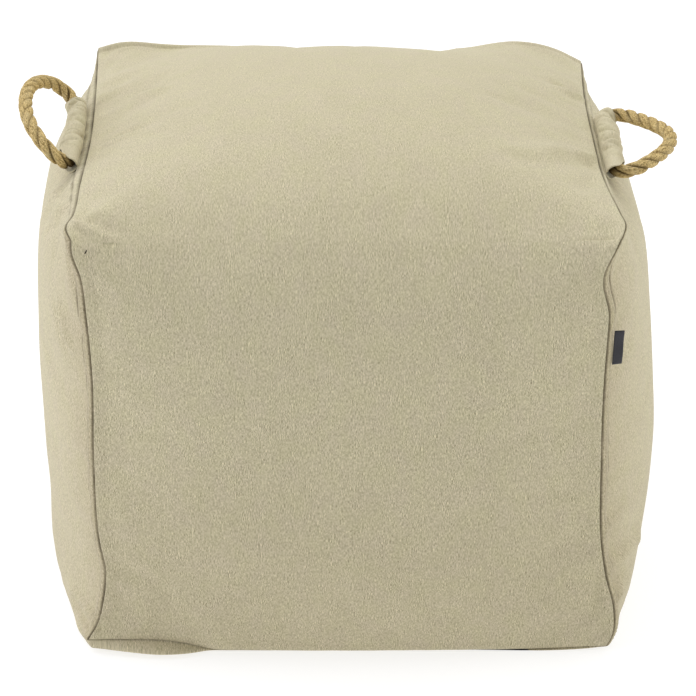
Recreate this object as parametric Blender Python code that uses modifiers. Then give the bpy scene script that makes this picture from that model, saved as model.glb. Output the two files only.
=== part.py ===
"""Cube pouf stool: a filled cloth cube with two rope handles, each run through a cloth sleeve at the top of a side.

Metres, +Z up. The front faces -Y, and the origin is on the floor, under the middle of the base.
The cover is worked out over a plain cube whose sides a (left to right), b (front to back) and
c (base to top) run from -1 to 1. One strip of cloth makes its front and top, a second its back and
base, and a panel each side.
"""

import math

import bmesh
import bpy
import numpy as np


def table(names, rows):
    """A short table as a dictionary of its columns."""
    return dict(zip(names.split(), np.array(rows).T))


COLLECTION = "cube_pouf_stool"

# Driving dimensions of the filled cover, between the corners of its seams.
SEAM_WIDTH = 0.450
SEAM_DEPTH = 0.430
TOP_SEAM_HEIGHT = 0.388
BASE_SEAM_HEIGHT = 0.014

# How far the filling pushes each panel out, and how full the panel is towards its edges (a power).
SIDES = table("side bulge fullness", [
    (-1, 0.0445, 5.6),
    (1, 0.0470, 2.6),
])
FRONT_BULGE = 0.034
BACK_BULGE = 0.036
UPRIGHT_FULLNESS = 3.0
TOP_CROWN = 0.055
CROWN_FULLNESS = 2.2
BASE_SPREAD = 0.036
SPREAD_REACH = 14

# How far each seam lies in from a straight line between its corners, from its start at -1 to its end at 1.
FRONT_SEAMS = table("height left right", [
    (-1.00, 0.005, -0.004),
    (-0.78, 0.019, -0.001),
    (-0.50, 0.014, 0.011),
    (-0.10, 0.013, 0.014),
    (0.35, 0.014, 0.012),
    (0.62, 0.011, 0.007),
    (0.80, 0.009, 0.014),
    (1.00, 0.000, 0.000),
])
TOP_SEAMS = table("depth left right", [
    (-1.00, 0.000, -0.002),
    (-0.80, 0.001, -0.002),
    (-0.50, 0.002, 0.008),
    (0.00, 0.004, 0.010),
    (0.50, 0.002, 0.009),
    (1.00, -0.002, 0.003),
])
BACK_RIM = table("across rise", [
    (-1.00, 0.003),
    (-0.92, 0.011),
    (-0.70, 0.007),
    (0.00, 0.004),
    (0.74, 0.009),
    (1.00, -0.008),
])
BACK_DRAW_IN = 0.012
SEAM_REACH = 6

# The soft edges without a seam: front to top, and back to base.
TOP_EDGE_REACH = 0.100
EAR_REACH = 0.028
BACK_EDGE_REACH = 0.030

# The sewn ridge along the seams, and the roll of cloth between the base's seam and the floor.
RIDGE_HEIGHT = 0.0016
RIDGE_LINE = 0.990
RIDGE_SPAN = 0.010
ROLL_START = 0.93
ROLL_OUT = 0.010

# Where the cover's grid lines lie on each side, mirrored about 0: close together at the seams.
GRID_LINES = (0.08, 0.25, 0.41, 0.56, 0.70, 0.82, 0.91, 0.955, RIDGE_LINE - RIDGE_SPAN, RIDGE_LINE, 1.0)

# The rope handles. "middle" is a sleeve's place in depth, and it dips along the side panel; the rope's middle
# lies "out" from its root, and the rope's plane leans up from level by its tilt.
ROPE_RADIUS = 0.006
ROPE_LAY = 0.046
ROPE_STEPS_PER_TURN = 14
STRANDS = 3
STRAND_DEPTH = 0.24
HANDLES = {
    "left": {"side": -1, "middle": 0.018, "out": 0.0054, "dip": 42.0, "tilt": 43.0},
    "right": {"side": 1, "middle": -0.004, "out": 0.0051, "dip": 56.0, "tilt": 9.0},
}
ROUTES = {
    "left": table("along out", [
        (-0.0020, 0.0000), (-0.0260, 0.0000), (-0.0460, 0.0000), (-0.0560, 0.0000), (-0.0640, 0.0003),
        (-0.0710, 0.0022), (-0.0757, 0.0068), (-0.0775, 0.0130), (-0.0768, 0.0192), (-0.0742, 0.0252),
        (-0.0700, 0.0318), (-0.0645, 0.0378), (-0.0575, 0.0432), (-0.0475, 0.0480), (-0.0350, 0.0517),
        (-0.0210, 0.0539), (-0.0060, 0.0546), (0.0120, 0.0536), (0.0290, 0.0506), (0.0445, 0.0458),
        (0.0575, 0.0396), (0.0675, 0.0322), (0.0735, 0.0240), (0.0750, 0.0165), (0.0727, 0.0093),
        (0.0665, 0.0036), (0.0575, 0.0006), (0.0440, 0.0000), (0.0250, 0.0000), (0.0020, 0.0000),
    ]),
    "right": table("along out", [
        (-0.0020, 0.0000), (-0.0260, 0.0000), (-0.0440, 0.0000), (-0.0530, 0.0000), (-0.0592, 0.0002),
        (-0.0645, 0.0017), (-0.0685, 0.0057), (-0.0700, 0.0110), (-0.0692, 0.0154), (-0.0667, 0.0200),
        (-0.0620, 0.0252), (-0.0560, 0.0312), (-0.0490, 0.0372), (-0.0405, 0.0433), (-0.0300, 0.0486),
        (-0.0185, 0.0519), (-0.0060, 0.0528), (0.0075, 0.0504), (0.0205, 0.0452), (0.0325, 0.0390),
        (0.0430, 0.0325), (0.0520, 0.0265), (0.0590, 0.0210), (0.0630, 0.0160), (0.0641, 0.0108),
        (0.0624, 0.0056), (0.0583, 0.0017), (0.0525, 0.0002), (0.0440, 0.0000), (0.0250, 0.0000),
        (0.0020, 0.0000),
    ]),
}

# The sleeves: a strip folded over the rope, with both edges in the top seam of the side.
CLOTH = 0.0012
GAP = 0.0003
SLACK = 0.0008
SLEEVE_TAIL = 0.0003
SLEEVE_STATIONS = 22
SLEEVE_HALF_LENGTH = 0.052
MOUTH_SLANT = 0.018
MOUTH_SPAN = 0.010
GATHER = 0.0011
GATHER_WAVES = 5.5

# The blank label in the right front seam.
LABEL_WIDTH = 0.0085
LABEL_LENGTH = 0.030
LABEL_THICKNESS = 0.0010
LABEL_HEIGHT = 0.287


def new_material(name, colour, roughness):
    """A plain Principled material."""
    material = bpy.data.materials.new(name)
    material.use_nodes = True
    shader = material.node_tree.nodes["Principled BSDF"]
    shader.inputs["Base Color"].default_value = (*colour, 1.0)
    shader.inputs["Roughness"].default_value = roughness
    shader.inputs["Metallic"].default_value = 0.0
    material.diffuse_color = (*colour, 1.0)
    return material


def curve_through(places, values, at):
    """A smooth curve through the values at their places, read at other places."""
    slopes = np.gradient(values, places)
    i = np.clip(np.searchsorted(places, at) - 1, 0, len(places) - 2)
    span = places[i + 1] - places[i]
    t = (at - places[i]) / span
    start = (1 + 2 * t) * (1 - t) ** 2 * values[i] + t * (1 - t) ** 2 * span * slopes[i]
    end = t * t * (3 - 2 * t) * values[i + 1] + t * t * (t - 1) * span * slopes[i + 1]
    return start + end


def crown(s, power):
    """A bulge across a panel: 1 in its middle, 0 at both edges."""
    return 1.0 - np.abs(s) ** power


def near(s, reach=SEAM_REACH):
    """1 at the edge where s is 1, and soon 0 away from it."""
    return ((1.0 + s) / 2.0) ** reach


def half_width(side, b, c):
    """How far out the cover reaches on one side."""
    name = "left" if side < 0 else "right"
    row = 0 if side < 0 else 1
    inset = near(-b) * curve_through(FRONT_SEAMS["height"], FRONT_SEAMS[name], c)
    inset = inset + near(c) * curve_through(TOP_SEAMS["depth"], TOP_SEAMS[name], b)
    inset = inset + near(b) * BACK_DRAW_IN * crown(c, 6)
    spread = near(-c, SPREAD_REACH) * BASE_SPREAD * (1 - b * b) ** 2
    bulge = SIDES["bulge"][row] * crown(b, CROWN_FULLNESS) * crown(c, SIDES["fullness"][row])
    return SEAM_WIDTH / 2 - inset + spread + bulge


def ridge(s):
    """The sewn ridge just inside an edge: 1 on its crest."""
    return np.clip(1 - np.abs(np.abs(s) - RIDGE_LINE) / RIDGE_SPAN, 0, 1)


def roll(s):
    """0 on the flat of the base, rising to 1 at its seam."""
    return np.clip((np.abs(s) - ROLL_START) / (1 - ROLL_START), 0, 1)


def easing(along_b, along_c, reach):
    """How far a seamless edge is eased in, at a point that lies so far from it."""
    return np.clip(reach - along_b - along_c, 0, None) ** 2 / (4 * reach)


def cover(a, b, c):
    """The cover's surface over the plain cube, as x, y and z."""
    side_panel = np.abs(a) > 1 - 1e-6
    ridges = RIDGE_HEIGHT * np.maximum(ridge(b), ridge(c)) * side_panel
    left = half_width(-1, b, c) + ridges
    right = half_width(1, b, c) + ridges
    x = a * np.where(a < 0, left, right)

    front = FRONT_BULGE * crown(a, 2.4) * crown(c, UPRIGHT_FULLNESS)
    back = BACK_BULGE * crown(a, 2.4) * crown(c, UPRIGHT_FULLNESS)
    back = back + RIDGE_HEIGHT * ridge(c) * (b > 1 - 1e-6) * (c > 0)
    y = b * (SEAM_DEPTH / 2 + np.where(b < 0, front, back))

    rim = near(b) * curve_through(BACK_RIM["across"], BACK_RIM["rise"], a)
    top = TOP_SEAM_HEIGHT + rim + TOP_CROWN * crown(a, CROWN_FULLNESS) * crown(b, CROWN_FULLNESS)
    lift = np.maximum(roll(a), roll(b))
    base = BASE_SEAM_HEIGHT * lift ** 1.5
    z = base + (c + 1) / 2 * (top - base)

    under = (c < -1 + 1e-6) * ROLL_OUT
    x = x + under * np.sign(a) * 4 * roll(a) * (1 - roll(a)) * crown(b, 12)
    y = y + under * np.sign(b) * 4 * roll(b) * (1 - roll(b)) * crown(a, 12)

    along_b = SEAM_DEPTH / 2
    along_c = TOP_SEAM_HEIGHT / 2
    reach = TOP_EDGE_REACH + (EAR_REACH - TOP_EDGE_REACH) * a ** 4
    lean = np.arctan(UPRIGHT_FULLNESS * FRONT_BULGE * crown(a, 2.4) / along_c)
    rise = np.arctan(CROWN_FULLNESS * TOP_CROWN * crown(a, CROWN_FULLNESS) / along_b)
    ease = easing((1 + b) * along_b, (1 - c) * along_c, reach)
    y = y + ease * (np.cos(rise) - np.sin(lean))
    z = z - ease * (np.cos(lean) - np.sin(rise))
    ease = easing((1 - b) * along_b, (1 + c) * along_c, BACK_EDGE_REACH)
    y = y - ease
    z = z + ease * (c > -1 + 1e-6)
    return x, y, np.maximum(z, 0.0)


# ---- building ----


def clear_scene():
    for obj in list(bpy.data.objects):
        bpy.data.objects.remove(obj, do_unlink=True)


def add_mesh(name, bm, material, collection):
    """Turns a bmesh into an object with one material, shaded smooth."""
    bmesh.ops.recalc_face_normals(bm, faces=bm.faces)
    mesh = bpy.data.meshes.new(name)
    bm.to_mesh(mesh)
    bm.free()
    mesh.shade_smooth()
    mesh.materials.append(material)
    obj = bpy.data.objects.new(name, mesh)
    collection.objects.link(obj)
    return obj


def make_cover(material, collection):
    """The filled cover: a cube cut into a grid, each point moved to its place on the cloth."""
    lines = np.array([-s for s in reversed(GRID_LINES)] + list(GRID_LINES))
    bm = bmesh.new()
    bmesh.ops.create_cube(bm, size=2.0)
    bmesh.ops.subdivide_edges(bm, edges=bm.edges, cuts=len(lines) - 2, use_grid_fill=True)
    points = np.array([vert.co for vert in bm.verts])
    steps = np.rint((points + 1) / 2 * (len(lines) - 1)).astype(int)
    a, b, c = lines[steps].T
    for vert, place in zip(bm.verts, np.stack(cover(a, b, c), axis=1)):
        vert.co = place
    obj = add_mesh("pouf_cover", bm, material, collection)
    obj.data.set_sharp_from_angle(angle=math.radians(40))
    return obj


def sleeve_frame(handle, along):
    """The sleeve's roots beside the seam's ridge at places in depth, with its directions out and up."""
    side = handle["side"]
    depth = handle["middle"] + np.atleast_1d(along)
    b = depth / (SEAM_DEPTH / 2)
    x, _, z = cover(np.full_like(b, side), b, np.full_like(b, RIDGE_LINE - RIDGE_SPAN))
    dip = math.radians(handle["dip"])
    out = np.array([side * math.cos(dip), 0.0, -math.sin(dip)])
    up = np.array([side * math.sin(dip), 0.0, math.cos(dip)])
    return np.stack([x, depth, z], axis=1), out, up


def rope_height():
    """How high the rope's middle lies over the sleeve's root."""
    return 2 * GAP + CLOTH + 2 * GAP + ROPE_RADIUS


def rope_route(handle, route):
    """Points along the middle of a rope, evenly spaced, and how far along it each lies."""
    tilt = math.radians(handle["tilt"])
    outward = np.array([handle["side"] * math.cos(tilt), 0.0, math.sin(tilt)])
    steps = np.hypot(np.diff(route["along"]), np.diff(route["out"]))
    chord = np.concatenate([[0.0], np.cumsum(steps)])
    fine = np.linspace(0.0, chord[-1], 400)
    along = curve_through(chord, route["along"], fine)
    reach = curve_through(chord, route["out"], fine)
    root, out, up = sleeve_frame(handle, along)
    middle = root + handle["out"] * out + rope_height() * up + np.outer(reach, outward)
    steps = np.linalg.norm(np.diff(middle, axis=0), axis=1)
    length = np.concatenate([[0.0], np.cumsum(steps)])
    even = np.linspace(0.0, length[-1], round(length[-1] / (ROPE_LAY / ROPE_STEPS_PER_TURN)) + 1)
    return np.stack([np.interp(even, length, middle[:, k]) for k in range(3)], axis=1), even


def make_strand_profile(collection):
    """The rope's cross-section, one round lobe for each strand."""
    data = bpy.data.curves.new("strand_profile", "CURVE")
    data.dimensions = "2D"
    corners = 4 * STRANDS
    spline = data.splines.new("POLY")
    spline.points.add(corners - 1)
    spline.use_cyclic_u = True
    for k, point in enumerate(spline.points):
        angle = -2 * math.pi * k / corners
        radius = ROPE_RADIUS * (1 - STRAND_DEPTH * (1 - abs(math.sin(STRANDS * angle / 2))) ** 1.5)
        point.co = (radius * math.cos(angle), radius * math.sin(angle), 0.0, 1.0)
    obj = bpy.data.objects.new("strand_profile", data)
    obj.hide_render = True
    obj.display_type = "WIRE"
    collection.objects.link(obj)
    return obj


def make_rope(name, handle, route, profile, material, collection):
    """A laid rope: the strands' profile swept along the route, turning once in each lay."""
    middle, length = rope_route(handle, route)
    data = bpy.data.curves.new(name, "CURVE")
    data.dimensions = "3D"
    data.twist_mode = "MINIMUM"
    data.bevel_mode = "OBJECT"
    data.bevel_object = profile
    data.use_fill_caps = True
    spline = data.splines.new("POLY")
    spline.points.add(len(middle) - 1)
    for point, place, run in zip(spline.points, middle, length):
        point.co = (*place, 1.0)
        point.tilt = 2 * math.pi * run / ROPE_LAY
    data.materials.append(material)
    obj = bpy.data.objects.new(name, data)
    collection.objects.link(obj)
    return obj


def sleeve_profile(handle):
    """The folded strip's middle line, out from the seam under the rope, round it and back over it."""
    wrap = ROPE_RADIUS + SLACK + CLOTH / 2
    low = 2 * GAP + CLOTH / 2
    high = low + CLOTH + GAP
    centre = np.array([handle["out"], low + wrap])
    tail = np.array([SLEEVE_TAIL, high])
    distance = np.linalg.norm(tail - centre)
    bearing = math.atan2(*(tail - centre)[::-1])
    leave = (bearing - math.acos(wrap / distance)) % (2 * math.pi)
    under = [(SLEEVE_TAIL + k / 3 * (handle["out"] - SLEEVE_TAIL), low) for k in range(3)]
    turns = np.linspace(-math.pi / 2, leave, 11)
    around = [centre + wrap * np.array([math.cos(t), math.sin(t)]) for t in turns]
    over = [around[-1] + k / 3 * (tail - around[-1]) for k in (1, 2, 3)]
    return np.array([*under, *around, *over]), centre


def make_sleeve(name, handle, material, collection):
    """A sleeve: the profile run along the seam, gathered across, with slanted mouths."""
    profile, centre = sleeve_profile(handle)
    lift = np.clip((profile[:, 1] - profile[0, 1]) / ROPE_RADIUS, 0, 1)
    steps = np.linalg.norm(np.diff(profile, axis=0), axis=1)
    run = np.concatenate([[0.0], np.cumsum(steps)])
    from_seam = np.minimum(run, run[-1] - run)
    half = SLEEVE_HALF_LENGTH + MOUTH_SLANT * np.clip(1 - from_seam / MOUTH_SPAN, 0, 1)
    bm = bmesh.new()
    rows = []
    for station in np.linspace(-1, 1, SLEEVE_STATIONS):
        wave = 0.5 - 0.5 * math.cos(2 * math.pi * GATHER_WAVES * station)
        swell = GATHER / ROPE_RADIUS * wave * (1 - station ** 8) * lift
        place = centre + (profile - centre) * (1 + swell)[:, None]
        root, out, up = sleeve_frame(handle, station * half)
        row = root + np.outer(place[:, 0], out) + np.outer(place[:, 1], up)
        rows.append([bm.verts.new(point) for point in row])
    for low, high in zip(rows, rows[1:]):
        for k in range(len(profile) - 1):
            bm.faces.new((low[k], low[k + 1], high[k + 1], high[k]))
    obj = add_mesh(name, bm, material, collection)
    shell = obj.modifiers.new("cloth", "SOLIDIFY")
    shell.thickness = CLOTH
    shell.offset = 0.0
    return obj


def make_label(material, collection):
    """A blank folded label that stands out of the right front seam and follows its line."""
    bm = bmesh.new()
    bmesh.ops.create_grid(bm, x_segments=2, y_segments=5, size=0.5)
    for vert in bm.verts:
        height = LABEL_HEIGHT + vert.co.y * LABEL_LENGTH
        c = 2 * height / TOP_SEAM_HEIGHT - 1
        seam_x, seam_y, _ = (float(v[0]) for v in cover(np.array([1.0]), np.array([-1.0]), np.array([c])))
        out = 2 * GAP + (vert.co.x + 0.5) * LABEL_WIDTH
        vert.co = (seam_x + out, seam_y - LABEL_THICKNESS / 2, height)
    obj = add_mesh("blank_label", bm, material, collection)
    shell = obj.modifiers.new("tape", "SOLIDIFY")
    shell.thickness = LABEL_THICKNESS
    shell.offset = 0.0
    return obj


def main():
    clear_scene()
    parts = bpy.data.collections.new(COLLECTION)
    guides = bpy.data.collections.new("guides")
    bpy.context.scene.collection.children.link(parts)
    bpy.context.scene.collection.children.link(guides)
    cloth = new_material("heathered_cloth", (0.50, 0.45, 0.32), 0.95)
    strip = new_material("sleeve_cloth", (0.52, 0.48, 0.36), 0.95)
    rope = new_material("laid_rope", (0.46, 0.31, 0.15), 0.85)
    woven = new_material("label_tape", (0.045, 0.045, 0.05), 0.8)
    make_cover(cloth, parts)
    profile = make_strand_profile(guides)
    for name, handle in HANDLES.items():
        make_sleeve(f"sleeve_{name}", handle, strip, parts)
        make_rope(f"rope_{name}", handle, ROUTES[name], profile, rope, parts)
    make_label(woven, parts)


main()
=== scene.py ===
"""Looks of the cube pouf stool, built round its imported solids. Metres, +Z up, the front faces -Y."""

import math

import bpy
import numpy as np
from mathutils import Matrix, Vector, noise


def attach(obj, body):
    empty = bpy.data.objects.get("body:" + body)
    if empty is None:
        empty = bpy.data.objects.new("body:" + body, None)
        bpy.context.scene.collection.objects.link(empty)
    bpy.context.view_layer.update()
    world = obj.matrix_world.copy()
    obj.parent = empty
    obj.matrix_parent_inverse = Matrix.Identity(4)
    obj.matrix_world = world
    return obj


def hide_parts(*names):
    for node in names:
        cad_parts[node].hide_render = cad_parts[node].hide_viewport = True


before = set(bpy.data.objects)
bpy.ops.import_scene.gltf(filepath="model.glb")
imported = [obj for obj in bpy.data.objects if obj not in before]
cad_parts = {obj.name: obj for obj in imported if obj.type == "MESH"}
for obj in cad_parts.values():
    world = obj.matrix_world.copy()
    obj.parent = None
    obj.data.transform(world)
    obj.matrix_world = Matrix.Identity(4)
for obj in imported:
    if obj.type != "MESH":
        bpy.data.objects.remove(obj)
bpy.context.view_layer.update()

MM = 0.001
TINY = 1e-6


def table(titles, rows):
    """A short table as a dictionary of its columns. Those marked :mm are in millimetres, and are kept in metres."""
    columns = {}
    for title, column in zip(titles.split(), np.array(rows, dtype=float).T):
        name, _, unit = title.partition(":")
        columns[name] = column / 1000 if unit else column
    return columns


# ---- the shape: the solids' own numbers, with a few more places along each seam ----

SEAM_WIDTH, SEAM_DEPTH, TOP_SEAM_HEIGHT = 0.450, 0.430, 0.388
# How far the left and the right side bulge, and how square each is from the floor up.
SIDES = table("bulge:mm fullness", [(44.5, 5.6), (47, 2.6)])
FRONT_BULGE, BACK_BULGE, UPRIGHT_FULLNESS = 0.034, 0.036, 3.0
TOP_CROWN, CROWN_FULLNESS = 0.055, 2.2
BASE_SPREAD, SPREAD_REACH = 0.036, 14
# How far the seams are drawn in: the upright ones at places from the base up, the top ones from the front back.
FRONT_SEAMS = table("height left:mm right:mm", [
    (-1, 2, 2), (-0.92, 10.5, -1.5), (-0.8, 16.5, -1), (-0.64, 19.5, 6.5), (-0.5, 15.5, 11), (-0.1, 13, 14.2),
    (0.35, 14, 13.8), (0.5, 12.6, 12.5), (0.62, 11, 11.8), (0.8, 7.6, 17), (0.92, 1, 7.8), (1, 0.4, 2),
])
TOP_SEAMS = table("depth left:mm right:mm", [
    (-1, 0.2, 1), (-0.93, -4, -2), (-0.8, 0, 1), (-0.5, 1.5, 8), (0, 4, 10), (0.5, 2, 9), (1, -2, 3),
])
# How much higher the back of the top lies, from left to right.
BACK_RIM = table("across rise:mm", [
    (-1, 6.5), (-0.92, 11.5), (-0.7, 9.5), (-0.45, 10.5), (0, 5.5), (0.36, 3), (0.52, 8), (0.74, 13), (0.88, 6),
    (1, -7.5),
])
# How much further the sides stand out than a plain bulge, at places from the base up.
SIDE_SWELL = table("height left:mm right:mm", [
    (-1, 0, 0), (-0.85, 0, 6.5), (-0.6, -3.5, 8), (-0.35, -2, 4.5), (0, 0, -1), (0.35, 0, -3), (0.6, 0, 1),
    (0.8, 3.5, 5), (0.92, 1, 1), (1, 0, 0),
])
BACK_FULLNESS, BACK_DRAW_IN = 3.6, 0.012
# The seam round the base: how high it lies at places along each side, and how far the cloth rolls out under it.
BASE_HEIGHTS = table("place front:mm back:mm left:mm right:mm", [
    (-1, 14, 4, 14, 3), (-0.86, 14, 6, 10, 1.5), (-0.7, 12.5, 6, 3.5, 1.2), (-0.6, 8, 6, 1.2, 1.2),
    (-0.52, 2.5, 6, 1.2, 1.2), (-0.4, 1.2, 6, 1.2, 1.2), (0.8, 1.2, 6, 1.2, 1.2), (0.93, 3, 6, 2, 2),
    (1, 3.5, 4, 4, 4),
])
BASE_ROLLS = table("place front:mm back:mm left:mm right:mm", [
    (-1, 9, 4, 9, 2), (-0.86, 13, 7, 8, 1), (-0.7, 17, 7, 3, 1), (-0.6, 12, 7, 1, 1), (-0.52, 3, 7, 1, 1),
    (-0.4, 1, 7, 1, 1), (0.3, 1.5, 7, 1, 1), (0.8, 6, 7, 1, 1), (0.93, 6, 7, 2, 2), (1, 5, 4, 4, 4),
])
TUCK_DEPTH, TUCK_REACH, ROLL_START, SEAM_REACH = 0.005, 0.022, 0.93, 6
# How far the seamless edges are rounded: front to top in its middle and at its ears, and back to base.
TOP_EDGE_REACH, EAR_REACH, BACK_EDGE_REACH = 0.100, 0.028, 0.030
# How square each form is across its panel: the higher, the flatter in the middle and the steeper at its edges.
STRIP_FULLNESS, DRAW_IN_FULLNESS, SWELL_FULLNESS, ROLL_FULLNESS = 2.4, 6, 4, 12
# How the spread of the sides at the floor fades to the front and to the back, how the base rises to its seam, and
# how closely the ears and the tucks keep to the corners.
SPREAD_POWERS, BASE_POWER, EAR_POWER, TUCK_POWER = (1.1, 2), 1.5, 4, 40

ROPE_RADIUS, ROPE_LAY = 0.006, 0.046
# Each handle: where in depth its middle lies, how far out of the seam the rope is, how far its sleeve dips and its
# loop tilts up, in degrees, and how far along the rope it comes out of the sleeve's painted shade in front.
HANDLES = {
    "left": {"side": -1, "middle": 0.018, "out": 0.0054, "dip": 42.0, "tilt": 43.0, "shaded": 0.069},
    "right": {"side": 1, "middle": -0.004, "out": 0.0051, "dip": 56.0, "tilt": 9.0, "shaded": 0.061},
}
# Each rope's route, along its sleeve and out from it: from the middle to the front, round the loop, and in again at
# the back.
ROUTES = {
    "left": table("along:mm out:mm", [
        (-2, 0), (-26, 0), (-46, 0), (-56, 0), (-64, 0.3), (-71, 2.2), (-75.7, 6.8), (-77.5, 13), (-76.8, 19.2),
        (-74.2, 25.2), (-70, 31.8), (-64.5, 37.8), (-57.5, 43.2), (-47.5, 48), (-35, 51.7), (-21, 53.9),
        (-6, 54.6), (12, 53.6), (29, 50.6), (44.5, 45.8), (57.5, 39.6), (67.5, 32.2), (73.5, 24), (75, 16.5),
        (72.7, 9.3), (66.5, 3.6), (57.5, 0.6), (44, 0), (25, 0), (2, 0),
    ]),
    "right": table("along:mm out:mm", [
        (-2, 0), (-26, 0), (-44, 0), (-53, 0), (-59.2, 0.2), (-64.5, 1.7), (-68.5, 5.7), (-70, 11),
        (-69.2, 15.4), (-66.7, 20), (-62, 25.2), (-56, 31.2), (-49, 37.2), (-40.5, 43.3), (-30, 48.6),
        (-18.5, 51.9), (-6, 52.8), (7.5, 50.4), (20.5, 45.2), (32.5, 39), (43, 32.5), (52, 26.5), (59, 21),
        (63, 16), (64.1, 10.8), (62.4, 5.6), (58.3, 1.7), (52.5, 0.2), (44, 0), (25, 0), (2, 0),
    ]),
}
# Where up a side panel the sleeve's root lies, from -1 to 1, how thick its cloth is, the gap to its neighbours, how
# loosely it lies round the rope, and how far from the seam its edges end.
RIDGE_FOOT, CLOTH, GAP, SLACK, SLEEVE_TAIL = 0.980, 0.0012, 0.0003, 0.0008, 0.0003
LABEL_WIDTH, LABEL_LENGTH, LABEL_HEIGHT = 0.0080, 0.030, 0.284


def curve_through(places, values, at):
    """A smooth curve through the values at their places, read at other places."""
    slopes = np.gradient(values, places)
    i = np.clip(np.searchsorted(places, at) - 1, 0, len(places) - 2)
    span = places[i + 1] - places[i]
    t = (at - places[i]) / span
    start = (1 + 2 * t) * (1 - t) ** 2 * values[i] + t * (1 - t) ** 2 * span * slopes[i]
    end = t * t * (3 - 2 * t) * values[i + 1] + t * t * (t - 1) * span * slopes[i + 1]
    return start + end


def crown(s, power):
    """A bulge across a panel: 1 in its middle, 0 at both edges."""
    return 1.0 - np.abs(s) ** power


def near(s, reach=SEAM_REACH):
    """1 at the edge where s is 1, and soon 0 away from it."""
    return ((1.0 + s) / 2.0) ** reach


def half_width(side, b, c):
    """How far out the cover reaches on one side."""
    name = "left" if side < 0 else "right"
    row = 0 if side < 0 else 1
    inset = near(-b) * curve_through(FRONT_SEAMS["height"], FRONT_SEAMS[name], c)
    inset = inset + near(c) * curve_through(TOP_SEAMS["depth"], TOP_SEAMS[name], b)
    inset = inset + near(b) * BACK_DRAW_IN * crown(c, DRAW_IN_FULLNESS)
    spread = near(-c, SPREAD_REACH) * BASE_SPREAD * (1 - b * b) ** np.where(b < 0, *SPREAD_POWERS)
    bulge = SIDES["bulge"][row] * crown(b, np.where(b < 0, CROWN_FULLNESS, BACK_FULLNESS))
    bulge = bulge * crown(c, SIDES["fullness"][row])
    swell = curve_through(SIDE_SWELL["height"], SIDE_SWELL[name], c) * crown(b, SWELL_FULLNESS)
    return SEAM_WIDTH / 2 - inset + spread + bulge + swell


def roll(s):
    """0 on the flat of the base, rising to 1 at its seam."""
    return np.clip((np.abs(s) - ROLL_START) / (1 - ROLL_START), 0, 1)


def base_value(values, a, b):
    """A number kept along the seam round the base, at a point of the cover."""
    front, back = (curve_through(values["place"], values[name], a) for name in ("front", "back"))
    left, right = (curve_through(values["place"], values[name], b) for name in ("left", "right"))
    front_or_back, left_or_right = np.where(b < 0, front, back), np.where(a < 0, left, right)
    nearer_b, nearer_a = roll(b) + TINY, roll(a) + TINY
    return (nearer_b * front_or_back + nearer_a * left_or_right) / (nearer_a + nearer_b)


def tucked(height):
    """How far the cloth curls in under at a height above the floor."""
    t = np.clip(1 - height / TUCK_REACH, 0, 1)
    return TUCK_DEPTH * (1 - np.sqrt(1 - t * t))


def easing(along_b, along_c, reach):
    """How far a seamless edge is eased in, at a point that lies so far from it."""
    return np.clip(reach - along_b - along_c, 0, None) ** 2 / (4 * reach)


def cover(a, b, c):
    """The cover's plain surface over a cube whose sides run from -1 to 1, as x, y and z."""
    x = a * np.where(a < 0, half_width(-1, b, c), half_width(1, b, c))

    bulge = np.where(b < 0, FRONT_BULGE, BACK_BULGE) * crown(a, STRIP_FULLNESS) * crown(c, UPRIGHT_FULLNESS)
    y = b * (SEAM_DEPTH / 2 + bulge)

    rim = near(b) * curve_through(BACK_RIM["across"], BACK_RIM["rise"], a)
    top = TOP_SEAM_HEIGHT + rim + TOP_CROWN * crown(a, CROWN_FULLNESS) * crown(b, CROWN_FULLNESS)
    lift = np.maximum(roll(a), roll(b))
    seam = base_value(BASE_HEIGHTS, a, b)
    base = seam * lift ** BASE_POWER
    z = base + (c + 1) / 2 * (top - base)

    level = c < -1 + TINY
    under = level * base_value(BASE_ROLLS, a, b)
    x = x + under * np.sign(a) * 4 * roll(a) * (1 - roll(a)) * crown(b, ROLL_FULLNESS)
    y = y + under * np.sign(b) * 4 * roll(b) * (1 - roll(b)) * crown(a, ROLL_FULLNESS)
    curl = tucked(np.where(level, seam, z))
    x = x - np.sign(a) * curl * near(np.abs(a), TUCK_POWER) * roll(a)
    y = y - np.sign(b) * curl * near(np.abs(b), TUCK_POWER) * roll(b)

    along_b = SEAM_DEPTH / 2
    along_c = TOP_SEAM_HEIGHT / 2
    reach = TOP_EDGE_REACH + (EAR_REACH - TOP_EDGE_REACH) * a ** EAR_POWER
    lean = np.arctan(UPRIGHT_FULLNESS * FRONT_BULGE * crown(a, STRIP_FULLNESS) / along_c)
    rise = np.arctan(CROWN_FULLNESS * TOP_CROWN * crown(a, CROWN_FULLNESS) / along_b)
    ease = easing((1 + b) * along_b, (1 - c) * along_c, reach)
    y = y + ease * (np.cos(rise) - np.sin(lean))
    z = z - ease * (np.cos(lean) - np.sin(rise))
    ease = easing((1 - b) * along_b, (1 + c) * along_c, BACK_EDGE_REACH)
    y = y - ease
    z = z + ease * (c > -1 + TINY)
    return x, y, np.maximum(z, 0.0)


def sleeve_frame(handle, along):
    """The sleeve's roots beside the seam's ridge at places in depth, with its directions out and up."""
    side = handle["side"]
    depth = handle["middle"] + np.atleast_1d(along)
    b = depth / (SEAM_DEPTH / 2)
    x, _, z = cover(np.full_like(b, side), b, np.full_like(b, RIDGE_FOOT))
    dip = math.radians(handle["dip"])
    out = np.array([side * math.cos(dip), 0.0, -math.sin(dip)])
    up = np.array([side * math.sin(dip), 0.0, math.cos(dip)])
    return np.stack([x, depth, z], axis=1), out, up


# ---- helpers for meshes ----

def read(profile, at):
    """The second column of a short table at places of the first."""
    first, second = profile.values()
    return np.interp(at, first, second)


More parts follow.
